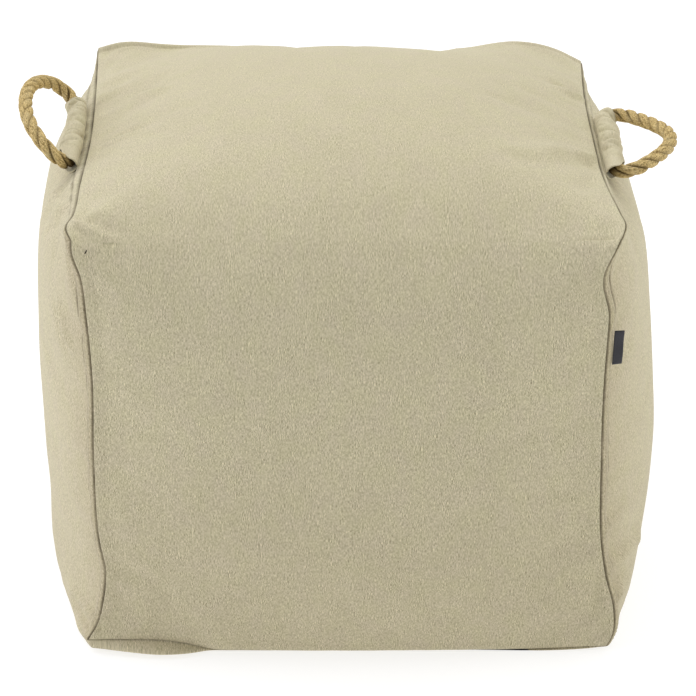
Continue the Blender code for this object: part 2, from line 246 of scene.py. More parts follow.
def eased(value, start, span):
    """0 before start, 1 after start + span, and smooth between."""
    t = np.clip((value - start) / span, 0, 1)
    return t * t * (3 - 2 * t)


def unit(vectors):
    """Vectors brought to length 1."""
    return vectors / np.linalg.norm(vectors, axis=-1, keepdims=True)


def run_along(line):
    """How far along a line of points each of them lies."""
    return np.concatenate([[0.0], np.cumsum(np.linalg.norm(np.diff(line, axis=0), axis=1))])


def points_at(places, run, line):
    """Where a line of points is at some places along its run."""
    return np.stack([np.interp(places, run, column) for column in line.T], axis=-1)


def frames_along(line, first=None):
    """Directions across a line of points that turn as little as they can: normal, binormal and tangent."""
    tangent = unit(np.gradient(line, axis=0))
    normal = np.empty_like(tangent)
    normal[0] = unit(np.cross(tangent[0], (0.0, 0.0, 1.0)) if first is None else first)
    for k in range(1, len(line)):
        normal[k] = unit(normal[k - 1] - tangent[k] * np.dot(normal[k - 1], tangent[k]))
    return normal, np.cross(tangent, normal), tangent


def full_turn(count):
    """Evenly spaced angles round a circle."""
    return np.arange(count) * 2 * math.pi / count


def rings_round(line, normal, binormal, radius, angles):
    """A ring of points round each point of a line."""
    out = np.cos(angles)[..., None] * normal[:, None, :] + np.sin(angles)[..., None] * binormal[:, None, :]
    return line[:, None, :] + radius[..., None] * out


def tube_faces(rings, around, start=0):
    """Faces of a tube whose points are numbered ring by ring, closed at both ends."""
    k = np.arange(around)
    after = (k + 1) % around
    faces = []
    for ring in range(rings - 1):
        low, high = start + ring * around, start + (ring + 1) * around
        faces.extend(np.stack([low + k, low + after, high + after, high + k], axis=1).tolist())
    faces.append((start + k[::-1]).tolist())
    faces.append((start + (rings - 1) * around + k).tolist())
    return faces


def strip_faces(rows, across):
    """Faces of a strip whose points are numbered row by row."""
    first = np.arange(across - 1) + across * np.arange(rows - 1)[:, None]
    return np.stack([first, first + 1, first + across + 1, first + across], axis=2).reshape(-1, 4)


def link(name, data):
    """A new object in the scene."""
    obj = bpy.data.objects.new(name, data)
    bpy.context.scene.collection.objects.link(obj)
    return obj


def aim(obj, heading):
    """Turns a camera or light to look along a heading."""
    obj.rotation_mode = "QUATERNION"
    obj.rotation_quaternion = Vector(heading).to_track_quat("-Z", "Y")


def add_object(name, points, faces, material):
    """A smooth mesh of one material that rides on the pouf's one body."""
    mesh = bpy.data.meshes.new(name)
    mesh.from_pydata([tuple(p) for p in points], [], [tuple(int(i) for i in f) for f in faces])
    mesh.validate()
    mesh.shade_smooth()
    mesh.materials.append(material)
    obj = link(name, mesh)
    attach(obj, "root")
    return obj


def thicken(obj, thickness):
    """Gives a sheet its thickness, half to each side."""
    shell = obj.modifiers.new("cloth", "SOLIDIFY")
    shell.thickness = thickness
    shell.offset = 0.0


def set_point_values(mesh, **values):
    """Stores numbers for each point of a mesh, for its material to read."""
    for name, numbers in values.items():
        numbers = np.broadcast_to(np.asarray(numbers, dtype=np.float32), len(mesh.vertices))
        mesh.attributes.new(name, "FLOAT", "POINT").data.foreach_set("value", np.ascontiguousarray(numbers))


def corner_points(mesh):
    """The point at each corner of each face, in the mesh's own order."""
    found = np.empty(len(mesh.loops), dtype=np.int32)
    mesh.loops.foreach_get("vertex_index", found)
    return found


def set_uv(mesh, name, corners):
    """Stores a place on the cloth for each corner of each face, in metres."""
    layer = mesh.uv_layers.new(name=name)
    layer.uv.foreach_set("vector", np.asarray(corners, dtype=np.float32).ravel())


# ---- the node helper ----

class Nodes:
    """Builds a material's node tree: each call adds a node and returns its output."""

    def __init__(self, name, roughness, sheen=0.0, sheen_roughness=0.5, specular=0.3):
        self.material = bpy.data.materials.new(name)
        self.material.use_nodes = True
        self.tree = self.material.node_tree
        self.shader = self.tree.nodes["Principled BSDF"]
        self.shader.inputs["Roughness"].default_value = roughness
        self.shader.inputs["Specular IOR Level"].default_value = specular
        self.shader.inputs["Sheen Weight"].default_value = sheen
        self.shader.inputs["Sheen Roughness"].default_value = sheen_roughness

    def put(self, value, socket):
        """Sets or links a socket."""
        if isinstance(value, bpy.types.NodeSocket):
            self.tree.links.new(value, socket)
        elif value is not None:
            socket.default_value = value

    def add(self, kind, output=0, inputs=None, **settings):
        node = self.tree.nodes.new(kind)
        for key, value in settings.items():
            setattr(node, key, value)
        for key, value in (inputs or {}).items():
            self.put(value, node.inputs[key])
        return node.outputs[output]

    def math(self, operation, *values, clamp=False):
        return self.add("ShaderNodeMath", 0, dict(enumerate(values)), operation=operation, use_clamp=clamp)

    def uv(self, name):
        """The two numbers of a place on the cloth."""
        place = self.add("ShaderNodeUVMap", 0, uv_map=name)
        split = self.tree.nodes.new("ShaderNodeSeparateXYZ")
        self.put(place, split.inputs[0])
        return split.outputs[0], split.outputs[1]

    def point(self, x, y, z=0.0):
        return self.add("ShaderNodeCombineXYZ", 0, {0: x, 1: y, 2: z})

    def noise(self, place, scale=1.0, detail=2.0, roughness=0.5):
        return self.add("ShaderNodeTexNoise", 0,
                        {"Vector": place, "Scale": scale, "Detail": detail, "Roughness": roughness})

    def speckle(self, u, v, across, along, seed=0.0, detail=2.0, roughness=0.5):
        """Noise that changes so many times a metre across and along."""
        place = self.point(self.math("MULTIPLY", u, across), self.math("MULTIPLY", v, along), seed)
        return self.noise(place, detail=detail, roughness=roughness)

    def swing(self, value, gain, onto=0.0, clamp=False):
        """How far a value is from one half, made stronger and added to another."""
        return self.math("MULTIPLY_ADD", self.math("SUBTRACT", value, 0.5), gain, onto, clamp=clamp)

    def thread(self, place, width):
        """How far a place is from the middle of its thread, from 0 to one half."""
        share = self.math("FRACT", self.math("DIVIDE", place, width))
        return self.math("ABSOLUTE", self.math("SUBTRACT", share, 0.5))

    def value(self, name):
        """A number stored with the mesh's points."""
        return self.add("ShaderNodeAttribute", 2, attribute_name=name)

    def ramp(self, factor, low, high):
        """0 below low, 1 above high."""
        return self.add("ShaderNodeMapRange", 0, {0: factor, 1: low, 2: high, 3: 0.0, 4: 1.0}, clamp=True)

    def mix(self, factor, first, second):
        """A colour between two others."""
        node = self.tree.nodes.new("ShaderNodeMix")
        node.data_type = "RGBA"
        self.put(factor, node.inputs[0])
        for socket, colour in ((node.inputs[6], first), (node.inputs[7], second)):
            self.put((*colour, 1.0) if isinstance(colour, tuple) else colour, socket)
        return node.outputs[2]

    def times(self, colour, other):
        """Two colours multiplied."""
        return self.add("ShaderNodeVectorMath", 0, {0: colour, 1: other}, operation="MULTIPLY")

    def finish(self, colour, height, distance, strength=1.0):
        """Links the colour and a bump of that many metres."""
        bump = self.add("ShaderNodeBump", 0, {"Strength": strength, "Distance": distance, "Height": height})
        self.put(colour, self.shader.inputs["Base Color"])
        self.put(bump, self.shader.inputs["Normal"])
        return self.material


# ---- materials ----

THREAD = 0.00082
DARK_YARN = (0.272, 0.244, 0.150)
PALE_YARN = (0.822, 0.756, 0.533)
# The colour of the painted shade along the seams.
SEAM_SHADE_COLOUR = (0.062, 0.045, 0.020)
PINK_TINT, YELLOW_TINT = (1.008, 0.988, 1.012), (1.000, 1.000, 0.968)
# What the cloth is multiplied by for its painted shade, near the floor and beside the uprights.
SHADE_TINT = (0.840, 0.805, 0.780)
# How much each kind of unevenness in the yarn counts.
FLECK, STREAK, YARN, SLUB, MOTTLE = 0.75, 0.75, 0.95, 0.25, 0.10
WEAVE_BUMP, WEAVE_STRENGTH = 0.06 * MM, 0.22
# How far threads stray sideways, how patchy the pairs of pale and dark threads are, and between which values of
# their noise the two tints change over.
STRAY, PATCHY, PATCH_LOW, TINT_RANGE = 0.004, 2.4, -0.2, (0.32, 0.68)


def cloth_material(name, brightness=1.0, contrast=1.0):
    """Heathered plain weave: fine pale and dark lengths of yarn lie side by side and run up the cloth."""
    n = Nodes(name, roughness=0.93, sheen=0.10, sheen_roughness=0.55, specular=0.15)
    u, v = n.uv("cloth")
    across = n.math("MULTIPLY_ADD", n.speckle(u, v, 26.0, 19.0, 31.0), STRAY, u)
    warp = n.math("FLOOR", n.math("DIVIDE", across, THREAD))
    weft = n.math("FLOOR", n.math("DIVIDE", v, THREAD))
    pair = n.math("FLOOR", n.math("DIVIDE", warp, 2.0))
    side = n.math("MULTIPLY_ADD", n.math("SUBTRACT", warp, n.math("MULTIPLY", pair, 2.0)), 2.0, -1.0)

    fleck = n.speckle(pair, v, 7.31, 900.0, 5.0, detail=1.0)
    streak = n.speckle(pair, v, 5.17, 210.0, 9.0, detail=1.0)
    yarn = n.speckle(warp, v, 3.71, 430.0, 17.0, detail=1.0)
    slub = n.speckle(u, weft, 300.0, 6.37, 13.0, detail=1.0)
    mottle = n.speckle(u, v, 24.0, 17.0, 3.0, detail=3.0, roughness=0.6)
    patch = n.speckle(u, v, 90.0, 42.0, 27.0)
    tint = n.speckle(u, v, 60.0, 45.0, 21.0)

    both = n.swing(streak, STREAK, n.swing(fleck, FLECK))
    both = n.math("MULTIPLY", both, n.math("MULTIPLY", side, n.math("MULTIPLY_ADD", patch, PATCHY, PATCH_LOW)))
    grain = n.swing(slub, SLUB, n.swing(yarn, YARN, both))
    grain = n.math("MULTIPLY", grain, n.math("MULTIPLY", n.value("grain"), contrast))
    tone = n.swing(mottle, MOTTLE, n.math("ADD", grain, 0.5), clamp=True)
    cloth = n.times(n.mix(tone, DARK_YARN, PALE_YARN), n.mix(n.ramp(tint, *TINT_RANGE), PINK_TINT, YELLOW_TINT))
    # Painted shade near the floor and beside the side panels' upright seams.
    cloth = n.times(cloth, n.mix(n.value("dulled"), (1.0, 1.0, 1.0), SHADE_TINT))
    # Painted shade along the seams: dark in their grooves and, beside the felled seams, where the panel comes out
    # from behind the ridge.
    colour = n.mix(n.value("seam"), n.times(cloth, (brightness,) * 3), SEAM_SHADE_COLOUR)

    crest = n.thread(across, THREAD)
    height = n.math("SUBTRACT", 1.0, n.math("MULTIPLY", crest, n.math("MULTIPLY", crest, 4.0)))
    return n.finish(colour, n.math("MULTIPLY_ADD", grain, 0.8, height), WEAVE_BUMP, WEAVE_STRENGTH)


def rope_material():
    """Plant fibre: golden streaks along the rope, with painted shade where the strands meet and inside the sleeves.
    """
    n = Nodes("rope_fibre", roughness=0.85, specular=0.15)
    u, v = n.uv("strand")
    fibre = n.speckle(u, v, 1500.0, 170.0, detail=3.0, roughness=0.65)
    yarn = n.speckle(u, v, 700.0, 90.0, 7.0)
    patch = n.speckle(u, v, 120.0, 60.0, 11.0)
    speck = n.speckle(u, v, 900.0, 650.0, 15.0)
    tone = n.swing(yarn, 1.2, n.swing(speck, 2.2, n.swing(fibre, 1.9, 0.60)), clamp=True)
    colour = n.mix(tone, (0.230, 0.140, 0.032), (0.830, 0.640, 0.300))
    colour = n.mix(n.math("MULTIPLY", n.ramp(patch, 0.50, 0.72), 0.4), colour, (0.66, 0.550, 0.315))
    # Painted shade in the grooves between the strands and inside the sleeves.
    colour = n.mix(n.math("MULTIPLY", n.value("groove"), 0.98), colour, (0.044, 0.023, 0.004))
    height = n.math("ADD", n.math("ADD", fibre, speck), n.math("MULTIPLY", yarn, 1.5))
    return n.finish(colour, height, 0.7 * MM)


def fibre_material(name, scale, dark, pale, bump, **surface):
    """Thin fibre or thread of uneven colour."""
    n = Nodes(name, **surface)
    tone = n.noise(n.add("ShaderNodeTexCoord", 3), scale=scale)
    return n.finish(n.mix(tone, dark, pale), tone, bump)


def dark_thread_material():
    n = Nodes("dark_thread", roughness=0.7, specular=0.2)
    n.shader.inputs["Base Color"].default_value = (0.024, 0.022, 0.016, 1.0)
    return n.material


def label_material():
    """Fine charcoal tape in a close weave."""
    n = Nodes("woven_tape", roughness=0.7, sheen=0.15, specular=0.3)
    u, v = n.uv("cloth")
    ribs, threads = n.thread(v, 0.34 * MM), n.thread(u, 0.30 * MM)
    patchiness = n.speckle(u, v, 700.0, 500.0)
    tone = n.math("ADD", n.math("MULTIPLY", ribs, 1.1), n.math("MULTIPLY", patchiness, 0.5), clamp=True)
    colour = n.mix(tone, (0.020, 0.020, 0.023), (0.060, 0.060, 0.068))
    return n.finish(colour, n.math("ADD", ribs, threads), 0.08 * MM)


# ---- camera ----

CAMERA_PLACE = (-0.0298, -2.5774, 1.3715)
CAMERA_AIM = (0.0113, 0.9093, -0.4174)
LENS_MM = 164.3


def make_camera():
    data = bpy.data.cameras.new("camera")
    data.lens = LENS_MM
    data.sensor_width = 36.0
    obj = link("camera", data)
    obj.location = CAMERA_PLACE
    aim(obj, CAMERA_AIM)
    bpy.context.scene.camera = obj


# ---- rope handles ----

STRANDS, STRAND_ROUND = 3, 0.0005
YARNS, YARN_RIPPLE = 34, 0.00011
# The grooves between the strands: how wide, in degrees, how far from each end the rope is bare, and how deep the
# grooves are from there on.
GROOVE_WIDTH, BARE_ROPE = 14.5, 0.052
GROOVE_DEPTH = table("from_sleeve:mm depth:mm", [(0, 2.4), (25, 2.3), (45, 1.4), (70, 0.9)])
# Over what length the rope comes out of the sleeve's painted shade, and how far from its end it does so at the
# back.
SHADED_SPAN, SHADED_BEHIND = 0.010, 0.060
ROUTE_POINTS, ROPE_STEP, ROPE_CORNERS = 400, 0.0012, 72
# Loose fibres: how many, how thick, how deep their roots sit, and between which shares of the rope's length.
FUZZ_COUNT, FUZZ_RADIUS, FUZZ_SUNK, FUZZ_FROM_TO = 620, 0.000045, 0.0002, (0.19, 0.84)
# How long they are, how far they lift off, how much they turn aside and curl, how they bend back, and their taper.
FUZZ_LENGTHS, FUZZ_LIFTS, FUZZ_TURN, FUZZ_CURL = (0.0018, 0.0052), (0.15, 0.75), 0.45, 0.35
FUZZ_BEND, FUZZ_TAPER, FUZZ_RINGS, FUZZ_CORNERS = 0.45, 0.7, 5, 3


def rope_route(handle, route):
    """Points along the middle of a rope, evenly spaced, and how far along it each lies."""
    height = 2 * GAP + CLOTH + 2 * GAP + ROPE_RADIUS
    tilt = math.radians(handle["tilt"])
    outward = np.array([handle["side"] * math.cos(tilt), 0.0, math.sin(tilt)])
    chord = run_along(np.stack([route["along"], route["out"]], axis=1))
    fine = np.linspace(0.0, chord[-1], ROUTE_POINTS)
    along, reach = (curve_through(chord, route[name], fine) for name in ("along", "out"))
    root, out, up = sleeve_frame(handle, along)
    middle = root + handle["out"] * out + height * up + np.outer(reach, outward)
    length = run_along(middle)
    even = np.linspace(0.0, length[-1], 3 * round(length[-1] / ROPE_STEP / 3) + 1)
    return points_at(even, length, middle), even


def strand_outline(angle, depth):
    """How far the strands' outline lies from the rope's middle, and how deep in a groove it is, from 0 to 1, which
    also sets the painted shade in the grooves.
    """
    third = 360 / STRANDS
    off = np.abs((np.degrees(angle) + third / 2) % third - third / 2) / (third / 2)
    groove = np.exp(-((1 - off) * third / 2 / GROOVE_WIDTH) ** 2)
    return ROPE_RADIUS - STRAND_ROUND * off ** 2 - depth * groove, groove


def make_rope(name, handle, route, material, fuzz, seed):
    """A laid rope with its strands, yarns and loose fibres."""
    middle, length = rope_route(handle, route)
    normal, binormal, tangent = frames_along(middle)
    angles = np.tile(full_turn(ROPE_CORNERS), (len(middle), 1))
    twist = 2 * math.pi * length[:, None] / ROPE_LAY
    from_sleeve = np.minimum(length, length[-1] - length) - BARE_ROPE
    depth = read(GROOVE_DEPTH, from_sleeve)[:, None]
    radius, groove = strand_outline(angles - twist, depth)
    radius = radius + YARN_RIPPLE * np.sin(YARNS * angles + 3 * twist)
    points = rings_round(middle, normal, binormal, radius, angles).reshape(-1, 3)
    obj = add_object(f"laid_{name}", points, tube_faces(len(middle), ROPE_CORNERS), material)
    # Painted shade: the rope darkens in its grooves, and inside the sleeve until it comes out at either end.
    lit = eased(length, handle["shaded"], SHADED_SPAN) * eased(length[-1] - length, SHADED_BEHIND, SHADED_SPAN)
    groove = np.maximum(groove * depth / GROOVE_DEPTH["depth"][0], 1 - lit[:, None])
    set_point_values(obj.data, groove=groove.ravel())
    spot = np.stack([angles * ROPE_RADIUS, np.broadcast_to(length[:, None], angles.shape)], axis=2).reshape(-1, 2)
    set_uv(obj.data, "strand", spot[corner_points(obj.data)])
    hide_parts(name)
    hairs = make_fuzz(f"{name}_fibres", middle, normal, binormal, tangent, radius, fuzz, seed)
    return obj


def make_fuzz(name, middle, normal, binormal, tangent, radius, material, seed):
    """Short loose fibres that stand off the rope outside its sleeve, each a thin curved tube."""
    rng = np.random.default_rng(seed)
    points, faces = [], []
    first, last = (int(share * len(middle)) for share in FUZZ_FROM_TO)
    outside = np.arange(first, last)
    t = np.linspace(0, 1, FUZZ_RINGS)[:, None]
    thin, turn = FUZZ_RADIUS * (1 - FUZZ_TAPER * t), full_turn(FUZZ_CORNERS)[None, :]
    for _ in range(FUZZ_COUNT):
        ring = int(rng.choice(outside))
        corner = int(rng.integers(ROPE_CORNERS))
        angle = corner * 2 * math.pi / ROPE_CORNERS
        out = math.cos(angle) * normal[ring] + math.sin(angle) * binormal[ring]
        side = np.cross(tangent[ring], out)
        heading = unit(tangent[ring] * rng.choice([-1, 1]) + side * rng.normal(0, FUZZ_TURN))
        size = rng.uniform(*FUZZ_LENGTHS)
        lift = rng.uniform(*FUZZ_LIFTS)
        curl = rng.normal(0, FUZZ_CURL)
        root = middle[ring] + out * (radius[ring, corner] - FUZZ_SUNK)
        line = root + size * (t * heading + lift * (t - FUZZ_BEND * t * t) * out + curl * t * t * side)
        across, beside, _ = frames_along(line)
        faces.extend(tube_faces(FUZZ_RINGS, FUZZ_CORNERS, len(points)))
        points.extend(rings_round(line, across, beside, thin, turn).reshape(-1, 3).tolist())
    return add_object(name, points, faces, material)


# ---- the cover ----

# The coarse grid has so many cells along each side of the cube, and its rows beside each seam lie so far from it.
# The fine grid has twice as many, with a row between each two.
CELLS = 60
EDGE_ROWS = (0.0, 0.0014, 0.0030, 0.0046, 0.0062, 0.0080, 0.0090, 0.0102, 0.0140, 0.0210)
HALF_SIZES = np.array((SEAM_WIDTH, SEAM_DEPTH, TOP_SEAM_HEIGHT)) / 2
LEFT, RIGHT, FRONT, BACK, BASE, TOP, STRIP = range(7)
# How far the felled seam stands up beside each seam of the side panels: along the top, and along the uprights.
TOP_RELIEF = table("from_seam:mm height:mm", [
    (0, -0.5), (0.7, 0.6), (1.4, 1.2), (3, 1.7), (4.6, 1.6), (5.4, 0.6), (6.2, -0.2), (7.1, -0.3), (8.5, 0),
])
UPRIGHT_RELIEF = table("from_seam:mm height:mm", [
    (0, -0.9), (0.7, 0.5), (1.4, 1.2), (3, 1.9), (4.6, 2.1), (6.2, 1.9), (7.1, 0.6), (8, -0.2), (9, 0),
])
# Beside the seams of the other panels.
PLAIN_RELIEF = table("from_seam:mm height:mm", [(0, -1.2), (0.7, -0.2), (1.4, 0)])
# How dark the painted shade along the seams is, the same way: in each seam's groove and, beside the felled seams,
# where the panel comes out from behind the ridge. 1 is the full colour of the seams' painted shade.
TOP_DARKNESS = table("from_seam:mm darkness", [
    (0, 1), (0.7, 0.4), (1.4, 0), (3.8, 0), (4.6, 0.3), (5.4, 0.8), (7.1, 0.5), (8.5, 0.2), (9.6, 0),
])
UPRIGHT_DARKNESS = table("from_seam:mm darkness", [
    (0, 1), (0.7, 0.5), (1.4, 0), (5.4, 0), (6.2, 0.2), (7.1, 0.75), (9, 0.75), (10.2, 0.5), (12.1, 0),
])
PLAIN_DARKNESS = table("from_seam:mm darkness", [(0, 1), (0.7, 0.1), (1.4, 0)])
# The outer line of painted shadow beside the upright seams fades towards the floor: where it lies, to what share
# and from what height.
OUTER_LINE_FROM, OUTER_LINE_LOW, OUTER_LINE_FADE = 0.004, 0.25, (0.10, 0.08)
# The felled seam along the top at the back, as it shows over the rim near both corners.
REAR_RELIEF = table("from_seam:mm height:mm", [
    (0, 2.2), (1.4, 3), (3, 3.2), (4.6, 2.2), (6.2, 0.2), (8, 0),
])
REAR_SHARE = table("across share", [(-1, 1), (-0.72, 1), (-0.45, 0), (0.55, 0), (0.8, 0.45), (1, 0.6)])
# The seam at the front of the base: how dark its painted shade is, and between which places it comes out from under
# the roll.
BASE_SEAM_SHARE, LOST_SEAM = 0.45, (-0.84, -0.66)
# How far apart the painted shade along the seams grows paler and darker, and by how much.
SHADE_PATCH_SIZE, SHADE_PATCH_MIDDLE, SHADE_PATCH_SWING, SHADE_PATCH_LEAST = 0.022, 0.90, 0.6, 0.5
# How strongly the weave's grain shows: along the strip, from the floor up the front and back over the top, and
# on the other panels.
GRAIN = table("up share", [
    (0, 1), (0.25, 1), (0.36, 0.85), (0.45, 0.68), (0.6, 0.52), (0.75, 0.44), (0.82, 0.42),
])
OTHER_GRAIN = 0.9
# How far up from the floor the cloth is painted darker as shade and how much, and how far in from the sides'
# upright seams.
LOW_REACH, LOW_SHADE, BESIDE_REACH = 0.30, 0.4, 0.045
# How far apart the panels lie on the cloth that the weave is read from.
PANEL_SHIFT = 0.7


def lattice_lines(half_size, cells):
    """Where the grid lines lie on one side of the cube: close together at its seams."""
    inner = half_size - EDGE_ROWS[-1]
    rows = [half_size - row for row in EDGE_ROWS]
    spare = CELLS // 2 - len(EDGE_ROWS) + 1
    rows += [inner * (1 - k / spare) for k in range(1, spare + 1)]
    half = np.array(rows[::-1]) / half_size
    coarse = np.concatenate([-half[:0:-1], half])
    return np.interp(np.linspace(0, CELLS, cells + 1), np.arange(CELLS + 1), coarse)


def cube_lattice(cells):
    """A cube's surface as points from -1 to 1, faces, each face's panel, and each panel's grid of points."""
    width = cells + 1
    quads, panels, grids = [], [], {}
    step = np.arange(width)
    for axis in range(3):
        first, second = [k for k in range(3) if k != axis]
        for end in (0, cells):
            steps = np.zeros((width, width, 3), dtype=np.int64)
            steps[..., axis] = end
            steps[..., first] = step[:, None]
            steps[..., second] = step[None, :]
            code = steps[..., 0] + width * (steps[..., 1] + width * steps[..., 2])
            quad = np.stack([code[:-1, :-1], code[1:, :-1], code[1:, 1:], code[:-1, 1:]], axis=2).reshape(-1, 4)
            if (axis == 1) == (end > 0):
                quad = quad[:, ::-1]
            quads.append(quad)
            panels.append(np.full(len(quad), 2 * axis + (end > 0)))
            grids[2 * axis + (end > 0)] = code
    codes, index = np.unique(np.concatenate(quads), return_inverse=True)
    grids = {panel: np.searchsorted(codes, code) for panel, code in grids.items()}
    steps = (codes % width, codes // width % width, codes // width ** 2)
    cube = np.stack([lattice_lines(size, cells)[step] for size, step in zip(HALF_SIZES, steps)], axis=1)
    return cube, index.reshape(-1, 4), np.concatenate(panels), grids


def normals_of(points, faces):
    """The direction out of the surface at each point."""
    p = points[faces]
    across = np.cross(p[:, 2] - p[:, 0], p[:, 3] - p[:, 1])
    total = np.zeros_like(points)
    for k in range(4):
        np.add.at(total, faces[:, k], across)
    return total / np.maximum(np.linalg.norm(total, axis=1), 1e-12)[:, None]


def panel_places(points, on_top):
    """Where each point lies on each panel's cloth, and on the strip that runs up the front and over the top."""
    x, y, z = points.T
    over = TOP_SEAM_HEIGHT + y + SEAM_DEPTH / 2
    return {LEFT: (y, z), RIGHT: (y, z), FRONT: (x, z), BACK: (x, z), BASE: (x, y), TOP: (x, over),
            STRIP: (x, np.where(on_top, over, z))}


# Folds, in millimetres: the panel, both ends on its cloth, how wide and how high each is, and how deep the hollow
# along one side of it is, as a share of that height.
FOLDS = [
    (STRIP, (-217, 685), (-198, 700), 4, 2.2, 0.6),
    (STRIP, (-212, 574), (-168, 565), 4.5, 1.8, 0.7),
    (STRIP, (-187, 661), (-157, 653), 4.5, 1.2, 0.7),
    (STRIP, (128, 500), (172, 506), 8, 1, -0.5),
    (STRIP, (160, 512), (203, 548), 8.5, 1.8, -0.5),
    (STRIP, (196, 538), (224, 562), 7, 1.4, -0.6),
    (STRIP, (186, 693), (224, 701), 5, 2.2, 0.9),
    (STRIP, (188, 382), (222, 386), 5, -2, -0.6),
    (STRIP, (-226, 415), (-192, 403), 4.5, 1.6, 0.8),
    (STRIP, (-224, 79), (-203, 86), 5, -2.2, -0.4),
    (STRIP, (-226, 27), (-212, 24), 4.5, -2.2, -0.4),
    (LEFT, (-150, 30), (-208, 30), 6, 2.6, 0.6),
    (LEFT, (-46, 352), (-75, 366), 5, 2.2, 0.7),
    (LEFT, (-95, 355), (-121, 372), 5, 2.2, 0.7),
    (LEFT, (-160, 306), (-184, 274), 6, 2.2, 0.7),
    (RIGHT, (-208, 79), (-130, 69), 6.5, 2.6, 0.5),
    (RIGHT, (-213, 54), (-187, 43), 5, 2, 0.7),
    (RIGHT, (-210, 120), (-180, 110), 5.5, 1.6, 0.7),
]
# How much stronger all folds are, where they fade at their ends, as a share of their length, and where and how wide
# the hollow beside them is, as a share of their width.
FOLD_GAIN, FOLD_ENDS, HOLLOW_PLACE, HOLLOW_WIDTH = 2.1, (-0.25, 0.5), 1.9, 1.3
# Ripples off the seams: how far apart, how far they reach, how fast they change on the way, and how high they are.
PUCKER_PITCH, PUCKER_REACH, PUCKER_STRETCH = 0.017, 0.022, 0.3
STRIP_PUCKER, SIDE_PUCKER = 0.0005, 0.0009
# Where ripples run off a seam: the panel, the axis along the seam, the axis off it, their height, and a seed.
PUCKERS = [
    (FRONT, 2, 0, STRIP_PUCKER, 21.0), (TOP, 1, 0, STRIP_PUCKER, 22.0), (BACK, 2, 0, STRIP_PUCKER, 23.0),
    (LEFT, 2, 1, SIDE_PUCKER, 24.0), (LEFT, 1, 2, SIDE_PUCKER, 25.0), (RIGHT, 2, 1, SIDE_PUCKER, 26.0),
    (RIGHT, 1, 2, SIDE_PUCKER, 27.0), (BACK, 0, 2, STRIP_PUCKER, 28.0),
]
# Lumps of the filling: how wide, and how high.
LUMPS = ((0.13, 0.0016), (0.060, 0.0007))


def fold_height(across, up, start, end, width, height, hollow):
    """A soft fold from start to end that fades at both ends, with a hollow along one side. All in metres."""
    run = end - start
    size = np.hypot(*run)
    along = ((across - start[0]) * run[0] + (up - start[1]) * run[1]) / size ** 2
    aside = (-(across - start[0]) * run[1] + (up - start[1]) * run[0]) / size
    fade = eased(along, *FOLD_ENDS) * eased(1 - along, *FOLD_ENDS)
    crest = np.exp(-(aside / width) ** 2)
    beside = np.exp(-((aside - math.copysign(HOLLOW_PLACE * width, hollow)) / (HOLLOW_WIDTH * width)) ** 2)
    return height * fade * (crest - abs(hollow) * beside)


def rough(place, size, seed):
    """Smooth seeded unevenness between about -1 and 1."""
    return noise.noise(Vector(place) / size + Vector((seed, 2.7 * seed, 0.0)))


def pucker(along, away, seed):
    """Small ripples that run off a seam and fade."""
    fade = np.exp(-away / PUCKER_REACH)
    ripple = [rough((p, PUCKER_STRETCH * q, 0.0), PUCKER_PITCH, seed) for p, q in zip(along, away)]
    return fade * np.array(ripple)


def cloth_relief(points, cube, on_panel, places):
    """How far folds, puckers and lumps lift each point off the plain shape."""
    height = np.zeros(len(points))
    for panel, start, end, width, rise, hollow in FOLDS:
        ends = np.array([start, end]) * MM
        lift = fold_height(*places[panel], *ends, width * MM, FOLD_GAIN * rise * MM, hollow)
        height += np.where(on_panel[panel], lift, 0.0)
    away = (1 - np.abs(cube)) * HALF_SIZES
    for panel, along, off, rise, seed in PUCKERS:
        at = np.flatnonzero(on_panel[panel])
        height[at] += rise * pucker(points[at, along], away[at, off], seed)
    for k, (size, rise) in enumerate(LUMPS):
        height += rise * np.array([rough(p, size, 3.1 + k) for p in points])
    return height


def edge_distances(cube):
    """How far each point lies from the low, the high and the nearer edge along each axis, in metres."""
    return (1 + cube) * HALF_SIZES, (1 - cube) * HALF_SIZES, (1 - np.abs(cube)) * HALF_SIZES


def seam_distances(cube):
    """How far each point lies from the nearest seam of each panel."""
    low, high, away = edge_distances(cube)
    beside = np.minimum(away[:, 1], away[:, 2])
    ends = {FRONT: low[:, 2], BACK: high[:, 2], BASE: low[:, 1], TOP: high[:, 1]}
    return {LEFT: beside, RIGHT: beside, **{panel: np.minimum(away[:, 0], end) for panel, end in ends.items()}}


# The blown-up cloth: for how many frames, how often its broad swell is evened out before it is taken off, how far a
# point may move, and how far from a seam it moves freely.
CLOTH_FRAMES, SHIFT_SMOOTHING, SHIFT_CAP, SEAM_CALM = 20, 40, 0.0025, 0.014
# The turn from front to top: how many rows of points are rounded on each side of it, and how softly.
TURN_ROWS, TURN_RADIUS = 30, 0.009
# How far from the seams, and from the floor, the folds have their full height.
FOLD_FADE, FLOOR_FADE = 0.006, 0.025


